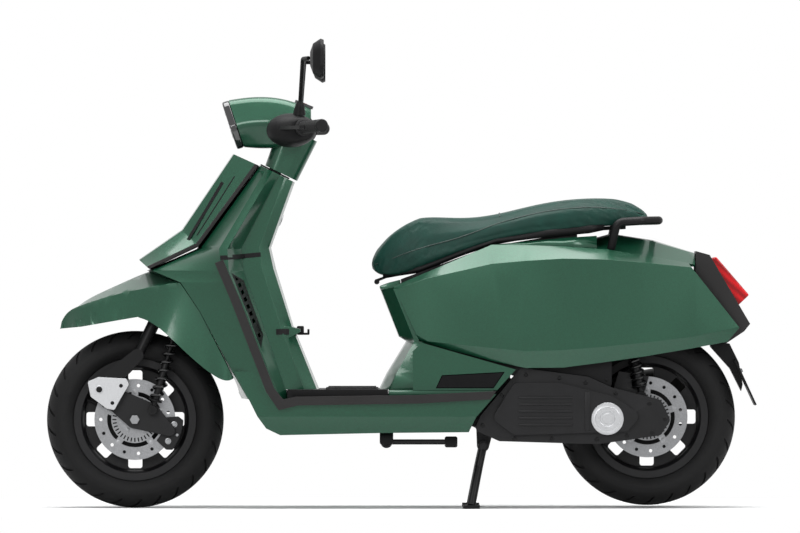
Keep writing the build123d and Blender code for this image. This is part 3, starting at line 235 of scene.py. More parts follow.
def add_bolt(shape, place, heading, head_mm=9.0, high_mm=4.5):
    """A flanged hexagon head standing on a surface."""
    add_turned(shape, [
        (0, -1), (head_mm * 0.68, -1), (head_mm * 0.68, 0.8), (head_mm * 0.5, 1.6), (0, 1.6),
    ], aimed(place, heading), 20)
    add_turned(shape, [
        (0, 1), (head_mm * 0.56, 1), (head_mm * 0.56, high_mm - 0.8), (head_mm * 0.46, high_mm), (0, high_mm),
    ], aimed(place, heading), 6)


dressed("transmission_case", cast_black, 3.0, 30, 3)
CASE_FACE, COVER_FACE = 164.0, 176.0
ribs = bmesh.new()
for z in (224, 242, 260, 278, 296):
    add_block(ribs, (-455, COVER_FACE - 1, z - 3), (-312, COVER_FACE + 3, z + 3), 1.8)
add_block(ribs, (-501, COVER_FACE - 1, 208), (-488, COVER_FACE + 2.5, 312), 1.0)
fit("case_ribs", ribs, cast_black, "chassis")
# Zinc-plated steel: pale grey, mottled in spots of 4 mm where the plating took unevenly.
zinc, tree, skin, where = new_finish("zinc_plated_steel", "#8b8c8e", Metallic=1.0, Roughness=0.38)
mottle = put(tree, "ShaderNodeTexNoise", {"Scale": 260.0, "Detail": 3.0}, where)
tint(tree, skin, mottle, "#77787a", "#a3a4a6")
case_bolts = bmesh.new()
for x, z in (
    (-216, 222), (-267, 302), (-331, 357), (-420, 349), (-490, 336), (-570, 308), (-660, 281), (-701, 240),
    (-668, 203), (-600, 195), (-520, 185), (-400, 187), (-300, 187),
):
    add_bolt(case_bolts, (x, CASE_FACE, z), (0, 1, 0))
fit("case_bolts", case_bolts, powder_coat, "chassis")

# Satin aluminium: bright and a little hazy.
# The real tool marks are 0.1 mm, and the haze is drawn 3 mm coarse so that it shows.
satin, tree, skin, where = new_finish("satin_aluminium", "#b9babc", Metallic=1.0, Roughness=0.33)
haze = put(tree, "ShaderNodeTexNoise", {"Scale": 340.0, "Detail": 3.0}, where)
tint(tree, skin, haze, "#a6a7a9", "#c8c9cb")
roughen(tree, skin, haze, 0.26, 0.42)
cap = bmesh.new()
CAP_PROFILE = [
    (0, 6.6), (13, 6.6), (14, 5.8), (19, 5.8), (20, 7.4), (21, 8), (32, 8), (33, 7), (33, 4.4), (34, 4),
    (42, 4), (43, 3), (43, 0), (0, 0),
]
add_turned(cap, CAP_PROFILE, aimed((-548, COVER_FACE, 240), (0, 1, 0)), 64)
fit("belt_cap", cap, satin, "chassis", ["transmission_cap"], 25)

# Moulded black plastic: spark-eroded grain of 0.8 mm, softly satin.
black_plastic, tree, skin, where = new_finish(
    "moulded_black_plastic", "#080809", Roughness=0.46, IOR=1.46, Specular_IOR_Level=0.18,
)
grain = put(tree, "ShaderNodeTexNoise", {"Scale": 1250.0, "Detail": 3.0}, where)
emboss(tree, skin, grain, 0.2, 0.0003)
wear = put(tree, "ShaderNodeTexNoise", {"Scale": 12.0, "Detail": 4.0}, where)
tint(tree, skin, wear, "#060607", "#0c0c0d")
roughen(tree, skin, wear, 0.42, 0.56)
dressed("air_filter_box", black_plastic, 2.0)
screws = bmesh.new()
for x, z in ((-346, 396), (-450, 399), (-546, 401), (-546, 344)):
    add_bolt(screws, (x, 150, z), (0, 1, 0), 7.0, 3.4)
fit("filter_screws", screws, powder_coat, "chassis")

# Rear arm and axle: a cast arm on the right carries the axle, which is ground steel with a hexagon nut.
# The arm is bolted to the crankcase and takes the silencer's bracket.
dressed("rear_arm", cast_black, 2.0)
# Ground steel: grey and bright.
# The real scratches are 0.1 mm, and the clouding is drawn 2.4 mm coarse so that it shows.
ground_steel, tree, skin, where = new_finish("ground_steel", "#8a8b8d", Metallic=1.0, Roughness=0.32)
lines = put(tree, "ShaderNodeTexNoise", {"Scale": 420.0, "Detail": 2.0}, where)
tint(tree, skin, lines, "#737476", "#9d9ea0")
roughen(tree, skin, lines, 0.24, 0.42)
dressed("rear_axle", ground_steel, 0.6)

# Exhaust: a header pipe and a pressed steel silencer in heat-proof black, on the right side.
# A slotted aluminium guard is held off the silencer by two screws, and a rolled tail tube ends it.


def thicken(piece, wall_mm, offset):
    """Give an open sheet its wall: an offset of 0 keeps it in the middle, -1 puts it behind."""
    wall = piece.modifiers.new("sheet", "SOLIDIFY")
    wall.thickness, wall.offset = wall_mm / 1000, offset


# Heat-proof paint: a dry matt film with 2 mm specks and brown burnt patches a hand wide.
heat_paint, tree, skin, where = new_finish(
    "heat_proof_black_paint", "#11100f", Roughness=0.52, IOR=1.5, Specular_IOR_Level=0.35,
)
speck = put(tree, "ShaderNodeTexNoise", {"Scale": 500.0, "Detail": 4.0}, where)
emboss(tree, skin, speck, 0.2, 0.0003)
burn = put(tree, "ShaderNodeTexNoise", {"Scale": 9.0, "Detail": 5.0}, where)
tint(tree, skin, burn, "#0c0b0b", "#1c1917")
dressed("exhaust", heat_paint, 2.5, 30, 3)
GUARD_LONG, GUARD_HIGH, GUARD_CELLS = 0.26, 0.072, 21
guard = bmesh.new()
bmesh.ops.create_grid(guard, x_segments=GUARD_CELLS, y_segments=5, size=0.5)
windows = [
    f for f in guard.faces if abs(f.calc_center_median().y) < 0.31
    and round((f.calc_center_median().x + 0.5) * GUARD_CELLS - 0.5) % 3 == 1
]
bmesh.ops.delete(guard, geom=windows, context="FACES")
lean = Matrix.Rotation(math.atan(0.16), 4, "Y")
stand_off = Matrix.Translation((-0.585, -0.2185, 0.292)) @ lean @ Matrix.Rotation(math.radians(90), 4, "X")
bmesh.ops.transform(guard, matrix=stand_off @ Matrix.Diagonal((GUARD_LONG, GUARD_HIGH, 1, 1)),
                    verts=guard.verts)
thicken(fit("silencer_guard", guard, satin, "chassis"), 2.2, 0.0)
fixings = bmesh.new()
for x, z in ((-480, 275), (-690, 309)):
    add_turned(fixings, [(0, 0), (5, 0), (5, 9), (0, 9)], aimed((x, -213, z), (0, -1, 0)), 16)
    add_bolt(fixings, (x, -220, z), (0, -1, 0), 9, 4.5)
fit("guard_screws", fixings, zinc, "chassis")

# Rear shock absorbers: a damper in a coil spring on each side, from the arm up to the tail's tubes.
# The spring is wound from round steel wire and painted black; an eye with a rubber bush ends each damper.


def add_spring(shape, low, high, coil_mm, wire_mm, turns):
    """A coil spring of round wire between two points in millimetres."""
    before = set(shape.verts)
    run = (Vector(high) - Vector(low)).length / 1000
    spot = Matrix.Translation((coil_mm / 1000, 0, 0)) @ Matrix.Rotation(math.radians(90), 4, "X")
    wire = bmesh.ops.create_circle(shape, segments=8, radius=wire_mm / 1000, matrix=spot)["verts"]
    loop = list({edge for vert in wire for edge in vert.link_edges})
    steps = 22 * turns
    bmesh.ops.spin(
        shape, geom=wire + loop, cent=(0, 0, 0), axis=(0, 0, 1), dvec=(0, 0, run / steps),
        angle=math.tau * turns, steps=steps, use_merge=False, use_duplicate=False,
    )
    fresh = [v for v in shape.verts if v not in before]
    ends = {edge for vert in fresh for edge in vert.link_edges if edge.is_boundary}
    bmesh.ops.holes_fill(shape, edges=list(ends), sides=0)
    bmesh.ops.transform(shape, matrix=aimed(low, Vector(high) - Vector(low)), verts=fresh)


def make_dampers(name, low, high, coil_mm, body, node):
    """A pair of dampers with their eyes and springs, one each side."""
    tubes, springs = bmesh.new(), bmesh.new()
    for hand in (1, -1):
        foot, head = Vector((low[0], low[1] * hand, low[2])), Vector((high[0], high[1] * hand, high[2]))
        size = (head - foot).length
        along = (head - foot).normalized()
        add_turned(tubes, [
            (0, 9), (7, 9), (7, 23), (coil_mm - 1, 24), (coil_mm, 25), (coil_mm, 28), (coil_mm - 1, 29),
            (coil_mm - 8, 30), (coil_mm - 8, size * 0.56), (coil_mm - 9, size * 0.57), (5.5, size * 0.57),
            (5.5, size - 27), (coil_mm - 1, size - 27), (coil_mm, size - 26), (coil_mm, size - 17),
            (coil_mm - 1, size - 16), (9, size - 14), (9, size - 8), (0, size - 8),
        ], aimed(foot, along), 28)
        for end in (foot, head):
            add_turned(tubes, [(5, -11), (12, -11), (13, -10), (13, 10), (12, 11), (5, 11)],
                       aimed(end, (0, 1, 0)), 28, True)
            add_turned(tubes, [(0, -12), (5, -12), (5, 12), (0, 12)], aimed(end, (0, 1, 0)), 6)
        add_spring(springs, foot + along * 31, foot + along * (size - 29), coil_mm - 3.9, 3.8, 8)
    fit(name + "_tubes", tubes, powder_coat, body, [node])
    fit(name + "_springs", springs, spring_paint, body)


# Spring paint: thick gloss black with 3 mm runs over steel wire, so each turn has a clear highlight.
spring_paint, tree, skin, where = new_finish("gloss_black_spring_paint", "#19191a", Roughness=0.25, IOR=1.5)
skinning = put(tree, "ShaderNodeTexNoise", {"Scale": 300.0, "Detail": 2.0}, where)
tint(tree, skin, skinning, "#0a0a0b", "#141415")
emboss(tree, skin, skinning, 0.08, 0.0003)
make_dampers("rear_damper", (-640, 90, 300), (-604, 90, 486), 20, "chassis", "rear_shocks")

# Wheels: cast black aluminium wheels with eight windows, a tubeless road tyre on each.
# The tread's slanted grooves are moulded, and each wheel has a rubber valve between two windows.
WHEELS = {"front": (712.1, 236.4), "rear": (-655.9, 243.4)}
TREAD_GROOVES = 26
SECTION = [
    (236.4, 0), (235.9, 8), (234.5, 16), (231.9, 25.2), (227.6, 35), (221.4, 44.4), (214.6, 51.4),
    (206.4, 57), (200, 59.3), (196, 59.0), (192.4, 60), (184, 58.4), (181, 57.0), (176.4, 55),
    (170.5, 50.6), (166.2, 46.6), (165.4, 42.2), (152.6, 41.8),
]
# Tyre rubber: dull black, a fine mould texture of 1 mm and greyer dust in the grain.
tyre_rubber, tree, skin, where = new_finish(
    "vulcanised_tyre_rubber", "#0a0a0b", Roughness=0.66, IOR=1.5, Specular_IOR_Level=0.22,
)
mould = put(tree, "ShaderNodeTexNoise", {"Scale": 980.0, "Detail": 3.0}, where)
emboss(tree, skin, mould, 0.18, 0.0003)
road = put(tree, "ShaderNodeTexNoise", {"Scale": 34.0, "Detail": 6.0}, where)
tint(tree, skin, road, "#080808", "#101011")
roughen(tree, skin, road, 0.62, 0.82)
for end, (x, z) in WHEELS.items():
    tyre = bmesh.new()
    outline = SECTION + [(r, -y) for r, y in reversed(SECTION) if y > 0]
    add_turned(tyre, outline, Matrix.Identity(4), TREAD_GROOVES * 6, True)
    bmesh.ops.recalc_face_normals(tyre, faces=tyre.faces)
    grooves = []
    for face in tyre.faces:
        middle = face.calc_center_median()
        column = int((math.atan2(middle.y, middle.x) % math.tau) / math.tau * TREAD_GROOVES * 6)
        on_tread = 0.006 < abs(middle.z) < 0.049 and middle.xy.length > 0.215
        if on_tread and column % 6 == (0 if middle.z > 0 else 3):
            grooves.append(face)
    for vert in tyre.verts:
        if vert.co.xy.length > 0.205:
            vert.co.rotate(Matrix.Rotation(3.4 * abs(vert.co.z), 3, "Z"))
    bmesh.ops.inset_region(tyre, faces=grooves, thickness=0.0007, depth=-0.0042, use_even_offset=True,
                           use_boundary=True)
    bmesh.ops.transform(tyre, matrix=aimed((x, 0, z), (0, 1, 0)), verts=tyre.verts)
    fit(end + "_road_tyre", tyre, tyre_rubber, end + "_wheel", [end + "_tyre"])
    dressed(end + "_rim", cast_black, 2.0, 30, 3)
    valve = bmesh.new()
    stem = Vector((math.cos(math.radians(22.5)), 0, math.sin(math.radians(22.5))))
    add_turned(valve,
               [(0, -3), (7, -3), (6, 4), (4, 8), (4, 20), (4.6, 20.5), (4.6, 27), (3.4, 28), (0, 28)],
               aimed(Vector((x, 25, z)) + stem * 138, -stem), 16)
    fit(end + "_valve", valve, black_plastic, end + "_wheel")

# Brakes: drilled steel discs bolted to the hubs, each with a slotted ring for the wheel-speed sensor.
# The calipers are cast aluminium in black; two sliding pins and a bleed nipple stand on the front one.
DISC_FACE, RING_FACE = 56.0, 59.0
for end, (x, z) in WHEELS.items():
    dressed(end + "_disc", ground_steel, 0.5)
    fixed = bmesh.new()
    for k in range(5):
        turn = math.radians(18 + 72 * k)
        add_bolt(fixed, (x + 34 * math.cos(turn), DISC_FACE, z + 34 * math.sin(turn)), (0, 1, 0), 9, 4)
        add_turned(fixed, [(0, -1), (6, -1), (6, 1), (3, 1.4), (3, 0.6), (0, 0.6)],
                   aimed((x + 75 * math.cos(turn), DISC_FACE, z + 75 * math.sin(turn)), (0, 1, 0)), 16)
    fit(end + "_disc_bolts", fixed, zinc, end + "_wheel")
    slits = bmesh.new()
    for k in range(36):
        turn = math.tau * k / 36
        spot = Matrix.Translation((x / 1000, RING_FACE / 1000, z / 1000)) @ Matrix.Rotation(turn, 4, "Y")
        block = Matrix.Translation((0.0545, 0, 0)) @ Matrix.Diagonal((0.011, 0.0006, 0.0035, 1))
        bmesh.ops.create_cube(slits, size=1.0, matrix=spot @ block)
    fit(end + "_sensor_slits", slits, black_plastic, end + "_wheel")
    dressed(end + "_caliper", cast_black, 2.5, 30, 3)
pins = bmesh.new()
FRONT_X, FRONT_Z = WHEELS["front"]
CALIPER_FACE = 65.7
for degrees in (187, 213):
    turn = math.radians(degrees)
    add_bolt(pins, (FRONT_X + 106 * math.cos(turn), CALIPER_FACE, FRONT_Z + 106 * math.sin(turn)),
             (0, 1, 0), 12, 6)
nipple = math.radians(200)
nipple_at = (FRONT_X + 120 * math.cos(nipple), CALIPER_FACE, FRONT_Z + 120 * math.sin(nipple))
add_turned(pins, [(0, -1), (4, -1), (4, 4), (2.4, 5), (2.4, 9), (0, 9)], aimed(nipple_at, (0, 1, 0)), 12)
fit("caliper_pins", pins, zinc, "steering")

# Stands: bent steel tube with welded feet, powder coated.
# The centre stand turns on a tube under the crankcase, the side stand on a pin through the frame's bracket.
dressed("centre_stand", powder_coat, 1.2)
dressed("side_stand", powder_coat, 1.2)
pin = bmesh.new()
PIN_OUT = Vector((0, -0.86, -0.51))
add_bolt(pin, Vector((40, 152, 178)) + PIN_OUT * 12, PIN_OUT, 14, 5)
fit("side_stand_pin", pin, zinc, "chassis")

# Fork: a welded steel fork with a trailing link each side, pivoted ahead of the axle.
# Silver pressed covers hide the link pivots, and two dampers stand between the links and the fork's lugs.
dressed("steering_fork", powder_coat, 1.5)
dressed("fork_links", cast_black, 2.0)
dressed("front_axle", ground_steel, 0.6)
dressed("pivot_covers", satin, 1.5, 30, 3)
cover_bolts = bmesh.new()
for hand in (1, -1):
    add_bolt(cover_bolts, (806, hand * 111, 317), (0, hand, 0), 12, 5)
    for x, z in ((748, 327), (771, 281)):
        add_bolt(cover_bolts, (x, hand * 106.1, z), (0, hand, 0), 7.5, 3.5)
fit("cover_bolts", cover_bolts, black_plastic, "steering")
make_dampers("front_damper", (664, 90.1, 262), (597, 90.1, 496), 18, "steering", "front_shocks")

# Leg shield and front spine: moulded covers in lacquered metallic green paint, screwed to the frame.
# The raised spine stands on a dark trim plate, and two slim slots run down each of its sides; black strips
# laid on the surface are their painted shade.


def touch(nodes, start, heading):
    """Where a line from a point in millimetres first meets one of these nodes, and the way it faces."""
    met = []
    for node in nodes.split():
        mesh = frame["nodes"][node].data
        surface = BVHTree.FromPolygons([v.co for v in mesh.vertices], [p.vertices for p in mesh.polygons])
        place, facing, _, away = surface.ray_cast(Vector(start) / 1000, Vector(heading).normalized())
        met += [(away, place * 1000, facing)] if place else []
    return min(met, key=lambda one: one[0])[1:]


def add_band(shape, lines):
    """Bridge two lines of points in millimetres into one band of faces."""
    chains = [[shape.verts.new(Vector(point) / 1000) for point in line] for line in lines]
    edges = [shape.edges.new(pair) for chain in chains for pair in zip(chain, chain[1:])]
    return bmesh.ops.bridge_loops(shape, edges=edges)["faces"]


def add_strip(shape, hits, wide_mm, rise_mm):
    """A flat strip that lies on a surface along the points where lines met it."""
    left, right = [], []
    for i, (place, facing) in enumerate(hits):
        ahead = hits[min(i + 1, len(hits) - 1)][0] - hits[max(i - 1, 0)][0]
        sideways = facing.cross(ahead).normalized() * wide_mm / 2
        left.append(place + facing * rise_mm + sideways)
        right.append(place + facing * rise_mm - sideways)
    faces = add_band(shape, (left, right))
    bmesh.ops.recalc_face_normals(shape, faces=faces)
    if faces[0].normal.dot(hits[0][1]) < 0:
        bmesh.ops.reverse_faces(shape, faces=faces)
    bmesh.ops.solidify(shape, geom=faces, thickness=2 * rise_mm / 1000)


# Metallic paint: real flakes are 0.05 mm; they are drawn 1.4 mm across so that they show.
# Under the lacquer the green goes pale where lamps run along a crease and deep where the panel turns away.
# The lacquer's orange peel is 5 to 6 mm.
green_paint, tree, skin, where = new_finish(
    "metallic_green_paint", "#124430", Metallic=0.45, Roughness=0.36, IOR=1.5, Specular_IOR_Level=0.25,
    Coat_Weight=0.6, Coat_Roughness=0.12,
)
flakes = put(tree, "ShaderNodeTexVoronoi", {"Scale": 720.0}, where)
tint(tree, skin, flakes, "#0b3a27", "#124732", "Color")
peel = put(tree, "ShaderNodeTexNoise", {"Scale": 180.0, "Detail": 1.0}, where)
emboss(tree, skin, peel, 0.02, 0.0004)
dressed("leg_shield", green_paint, 3.0, 22, 3)
dressed("front_spine", green_paint, 3.0, 22, 3)
# Grained grey plastic: charcoal, with a spark-eroded grain of 0.8 mm.
grey_plastic, tree, skin, where = new_finish(
    "grained_grey_plastic", "#201f1f", Roughness=0.5, IOR=1.46, Specular_IOR_Level=0.22,
)
grain = put(tree, "ShaderNodeTexNoise", {"Scale": 1250.0, "Detail": 3.0}, where)
emboss(tree, skin, grain, 0.22, 0.0003)
tone = put(tree, "ShaderNodeTexNoise", {"Scale": 15.0, "Detail": 4.0}, where)
tint(tree, skin, tone, "#1c1b1b", "#252424")
dressed("spine_trim", grey_plastic, 1.5)
WIDE_SLOT = ((478, 870), (524, 792), (570, 716))
THIN_SLOT = ((446, 886), (496, 806), (546, 728))
# Painted shade: each slot is a thin black strip on the spine's surface, standing for the shade inside it.
slot_shade = bmesh.new()
for hand in (1, -1):
    for line, wide_mm, rise_mm in ((WIDE_SLOT, 9, 0.6), (THIN_SLOT, 3, 0.5)):
        hits = [touch("front_spine", (x, 300 * hand, z), (0, -hand, 0)) for x, z in line]
        add_strip(slot_shade, hits, wide_mm, rise_mm)
fit("spine_slot_shade", slot_shade, black_plastic, "chassis")

# Vents: moulded black grilles of slanted slats, clipped into a pocket in the shield on each side.
# They let the air out from behind the shield.
dressed("vent_grilles", black_plastic, 0.8)

# Edge bead: an extruded grey trim pushed on the shield's outer edge and along the sill.
# It hides the joint between the front and the rear moulding.
dressed("edge_trim", grey_plastic, 4.0, 30, 3)

# Knee panel: the rider's side of the shield, moulded and painted, with a ledge over the legs whose shaded
# front edge is painted as a black strip.
# A bag hook is screwed to its middle between two catches, and the lock barrel is near the top on the right.
dressed("knee_panel", green_paint, 4.0, 22, 3)
LEDGE_LINE = ((482, 668), (462, 669), (440, 671), (418, 673), (396, 675), (376, 677))
CATCH_LINE = ((334, 471), (322, 471), (310, 471), (300, 471))
# Painted shade: a black band laid on the surface along the shelf's front edge, where its opening lies in
# shade.
ledge_shade, hook = bmesh.new(), bmesh.new()
for hand in (1, -1):
    inward = (0, -hand, 0)
    hits = [touch("leg_shield knee_panel", (x, 400 * hand, z), inward) for x, z in LEDGE_LINE]
    add_strip(ledge_shade, hits, 12, 1.0)
    hits = [touch("knee_panel", (x, 400 * hand, z), inward) for x, z in CATCH_LINE]
    add_strip(hook, hits, 15, 1.6)
fit("ledge_shade_strip", ledge_shade, black_plastic, "chassis")
hook_at, _ = touch("knee_panel", (100, 0, 478), (1, 0, 0))
add_block(hook, (hook_at.x - 9, -12, 462), (hook_at.x + 10, 12, 486), 3)
add_block(hook, (hook_at.x - 22, -7, 462), (hook_at.x - 4, 7, 468), 2.5)
add_block(hook, (hook_at.x - 24, -7, 462), (hook_at.x - 18, 7, 478), 2.5)
fit("bag_hook", hook, black_plastic, "chassis")
lock_at, lock_faces = touch("knee_panel", (100, -34, 770), (1, 0, 0))
lock = bmesh.new()
add_turned(lock, [(0, -4), (17, -4), (17, 2), (15, 4), (12, 4), (11, 2.5), (9, 2.5), (8.5, 3.2), (0, 3.2)],
           aimed(lock_at, lock_faces), 32)
fit("lock_barrel", lock, satin, "chassis")
# Painted shade: the keyway is a black slit on the barrel's face, standing for the shade inside the key's
# slot.
keyway_shade = bmesh.new()
slit = Matrix.Diagonal((0.002, 0.010, 0.0008, 1))
bmesh.ops.create_cube(keyway_shade, size=1.0, matrix=aimed(lock_at + lock_faces * 3.2, lock_faces) @ slit)
fit("keyway_shade", keyway_shade, black_plastic, "chassis")

# Front mudguard: a thin moulded beak in the body colour, screwed to the shield over the turning wheel.
# It stays still while the fork turns under it, and its lower edge runs straight up from the tip.
BEAK_SHARP = 26
RIM_BAND = 16
LOWER_EDGE = ((920, 478), (856, 484), (776, 498), (700, 511))
beak = dressed("front_mudguard", green_paint, 0, BEAK_SHARP)
beak_shape = bmesh.new()
beak_shape.from_mesh(beak.data)
for vert in beak_shape.verts:
    x, z = vert.co.x * 1000, vert.co.z * 1000
    for (ahead, near_z), (behind, far_z) in zip(LOWER_EDGE, LOWER_EDGE[1:]):
        edge_z = near_z + (ahead - x) / (ahead - behind) * (far_z - near_z)
        if behind < x <= ahead and z < edge_z + RIM_BAND:
            vert.co.z = edge_z / 1000
bmesh.ops.dissolve_degenerate(beak_shape, edges=beak_shape.edges[:], dist=0.0002)
beak_shape.to_mesh(beak.data)
beak_shape.free()
beak.data.set_sharp_from_angle(angle=math.radians(BEAK_SHARP))

# Floor: a moulded black board between the sills, with two ribbed rubber mats let into it.
# Each mat is held by moulded pegs from below, so nothing shows on top but the ribs.
dressed("floor_board", black_plastic, 2.0)
# Mat rubber: a dull stipple of 1.7 mm, greyer where shoes have scuffed it.
mat_rubber, tree, skin, where = new_finish(
    "moulded_mat_rubber", "#0d0d0e", Roughness=0.64, IOR=1.5, Specular_IOR_Level=0.3,
)
stipple = put(tree, "ShaderNodeTexVoronoi", {"Scale": 600.0}, where)
emboss(tree, skin, stipple, 0.2, 0.0004, "Distance")
scuff = put(tree, "ShaderNodeTexNoise", {"Scale": 26.0, "Detail": 6.0}, where)
tint(tree, skin, scuff, "#0a0a0b", "#151516")
dressed("floor_mats", mat_rubber, 1.2)

# Under-seat panel: the painted front of the body below the seat, pinched at the waist.
# A gloss black inset is clipped into each side over the sill.


def add_prism(shape, outline, start_y, end_y):
    """Push a side-view outline of (x, z) points in millimetres from one y to another."""
    face = shape.faces.new([shape.verts.new((x / 1000, start_y / 1000, z / 1000)) for x, z in outline])
    swept = bmesh.ops.extrude_face_region(shape, geom=[face])["geom"]
    moved = [one for one in swept if isinstance(one, bmesh.types.BMVert)]
    bmesh.ops.translate(shape, vec=(0, (end_y - start_y) / 1000, 0), verts=moved)


dressed("under_seat_panel", green_paint, 4.0, 22, 3)
flange = bmesh.new()
for inner, outer in ((154, 190), (-190, -154)):
    add_block(flange, (-244, inner, 298), (35, outer, 317), 3)
fit("panel_flange", flange, green_paint, "chassis")
collar = bmesh.new()
add_prism(collar, ((57, 584), (59, 593), (34, 602), (2.6, 610), (2.6, 584)), -126, 126)
bmesh.ops.bevel(collar, geom=list(collar.edges), offset=0.003, affect="EDGES", segments=2, profile=0.5,
                material=-1)
fit("lid_collar", collar, green_paint, "chassis")
# Gloss black plastic: a polished moulding with a slow ripple of 17 mm in its highlights.
gloss_black, tree, skin, where = new_finish(
    "gloss_black_plastic", "#080809", Roughness=0.2, IOR=1.5, Specular_IOR_Level=0.15,
)
ripple = put(tree, "ShaderNodeTexNoise", {"Scale": 60.0, "Detail": 2.0}, where)
tint(tree, skin, ripple, "#060607", "#0b0b0d")
roughen(tree, skin, ripple, 0.16, 0.28)
dressed("side_insets", gloss_black, 2.5)

# Side panels and tail cowl: creased covers in the same green paint, clipped to the tail's tubes.
# A shoulder on each side fills the slope up to the seat, and a black seal lies behind the lower joint.
dressed("side_panel_left", green_paint, 3.0, 22, 3)
dressed("side_panel_right", green_paint, 3.0, 22, 3)
dressed("tail_cowl", green_paint, 2.0, 22, 3)
SHOULDER_FOOT = ((-236, 156, 700), (-330, 160, 700), (-430, 161, 697), (-520, 157, 690))
SHOULDER_TOP = ((-236, 150, 703), (-330, 149, 711), (-430, 147, 721), (-520, 140, 727))
SEAL_OUTLINE = ((-60, 432), (-60, 452), (-335, 378), (-335, 342))
shoulders, seals = bmesh.new(), bmesh.new()
for hand in (1, -1):
    add_band(shoulders, [[(x, hand * y, z) for x, y, z in line] for line in (SHOULDER_FOOT, SHOULDER_TOP)])
    add_prism(seals, SEAL_OUTLINE, hand * 142, hand * 162)
thicken(fit("tail_shoulders", shoulders, green_paint, "chassis"), 3.0, -1.0)
fit("panel_seals", seals, black_plastic, "chassis")

# Storage bin: a moulded tub under the seat lid, open at the top, on two feet on the frame's rails.
# A rubber seal stands on the rear of its rim, and the closed lid lies just over the seal.
dressed("storage_bin", black_plastic, 1.5)
RIM_LINE = ((-253, 700, 701.5), (-330, 705, 714), (-392, 709, 724.5), (-467, 714, 733))
seal = bmesh.new()
rim = [(x, hand * 133.5, low, high) for hand in (1, -1) for x, low, high in RIM_LINE[::hand]]
add_band(seal, ([(x, y, low) for x, y, low, high in rim], [(x, y, high) for x, y, low, high in rim]))
thicken(fit("lid_seal", seal, mat_rubber, "chassis"), 3.0, 0.0)

# Tail lamp: a red acrylic lens in a dark housing between the panels' rear edges.
# Light bars behind the lens show as paler bands.
dressed("tail_lamp_housing", grey_plastic, 2.5)
# Red acrylic: a clear glossy skin over moulded light bars, which are 21 mm apart along the slope.
red_acrylic, tree, skin, where = new_finish(
    "red_acrylic", "#a00c12", Roughness=0.18, IOR=1.49, Specular_IOR_Level=0.3,
)
turned = put(tree, "ShaderNodeMapping", {"Rotation": (0, math.radians(-49), 0)}, where)
bars = put(tree, "ShaderNodeTexWave", {"Scale": 15.0, "Distortion": 0.0}, {"Vector": (turned, "Vector")},
           wave_type="BANDS", bands_direction="X")
tint(tree, skin, bars, "#86060b", "#c00d14")
emboss(tree, skin, bars, 0.25, 0.001)
dressed("tail_lamp_lens", red_acrylic, 4.0, 30, 4)

# Plate holder: a moulded arm under the lamp that ends in a flat board.
# Two zinc-plated bolts stand on the board, one each side.
dressed("plate_holder", black_plastic, 1.5)
plate_bolts = bmesh.new()
for y in (-50, 50):
    add_bolt(plate_bolts, (-906.4, y, 366.7), (-0.907, 0, 0.421), 10, 5)
fit("plate_bolts", plate_bolts, zinc, "chassis")

# Grab rail: one bent tube from the tail up past the seat's sides and round its end, powder coated.
# It is bolted to the frame inside the side panels.
dressed("grab_rail", powder_coat, 1.0, 40)

# Handlebar and grips: a bent steel tube clamped on the stem, with a ribbed rubber grip on each end.
# A turned steel weight, powder coated, closes each end of the bar.
GRIP_RIDGES, RIDGE_PITCH = 26, 5.8
BAR_BEND, BAR_RUN = Vector((288.8, 96, 1012.7)), Vector((-74.8, 256, 5.3))
dressed("handlebar", powder_coat, 0.8, 40)
ribbed, weights = bmesh.new(), bmesh.new()
for hand in (1, -1):
    spot = aimed((BAR_BEND.x, BAR_BEND.y * hand, BAR_BEND.z), (BAR_RUN.x, BAR_RUN.y * hand, BAR_RUN.z))
    ridges = []
    for k in range(GRIP_RIDGES):
        start = 110 + RIDGE_PITCH * k
        ridges += [(16.9, start), (16.9, start + 3.0), (15.4, start + 3.6), (15.4, start + 5.2)]
    add_turned(ribbed, [(11.1, 98), (22, 98), (23, 99), (23, 105), (22, 106), (17, 107)] + ridges
               + [(17, 262), (16, 264.5), (11.1, 264.5)], spot, 28, True)
    add_turned(weights, [
        (0, 267.2), (15.5, 267.2), (17, 268.5), (17, 271), (15.8, 272), (15.8, 273), (17, 274),
        (17, 279), (15, 281), (0, 281),
    ], spot, 32)
fit("rubber_grips", ribbed, mat_rubber, "steering", ["grips"])
fit("bar_weights", weights, powder_coat, "steering")

# Controls: moulded switch housings round the bar, with the brake levers cast in black.
# The switches face the rider: a slider and a horn button on the left, a red stop rocker on the right.
dressed("controls", black_plastic, 2.0, 40, 3)
# Red switch plastic: a satin moulding, rubbed paler in 4 mm spots.
switch_red, tree, skin, where = new_finish("red_switch_plastic", "#a31c1c", Roughness=0.4, IOR=1.46)
rub = put(tree, "ShaderNodeTexNoise", {"Scale": 240.0, "Detail": 3.0}, where)
tint(tree, skin, rub, "#8d1517", "#b32424")
buttons, rocker = bmesh.new(), bmesh.new()
for shape, y, z, long, high in (
    (buttons, 128, 1030, 18, 9), (buttons, 142, 1006, 13, 13), (buttons, -142, 1006, 13, 13),
    (rocker, -128, 1030, 18, 10),
):
    place, facing = touch("controls", (100, y, z), (1, 0, 0))
    key_size = Matrix.Diagonal((high / 1000, long / 1000, 0.006, 1))
    add_rounded(shape, aimed(place + facing * 1.5, facing) @ key_size, 1.8)
fit("switch_keys", buttons, grey_plastic, "steering")
fit("stop_rocker", rocker, switch_red, "steering")

# Headset: a two-part painted nacelle round the bar and the neck under it, screwed together from below.
# It turns with the bar, clear of the shield by a narrow gap.
dressed("headset_cowl", green_paint, 2.0, 26, 3)
STEER_UP = Vector((-math.sin(math.radians(26)), 0, math.cos(math.radians(26))))
dust_ring = bmesh.new()
add_turned(dust_ring, [(31, -53.5), (42, -53.5), (43, -52), (43, -50.5), (42, -49.5), (31, -49.5)],
           aimed((316, 0, 945), STEER_UP), 40, True)
fit("neck_dust_ring", dust_ring, mat_rubber, "chassis")

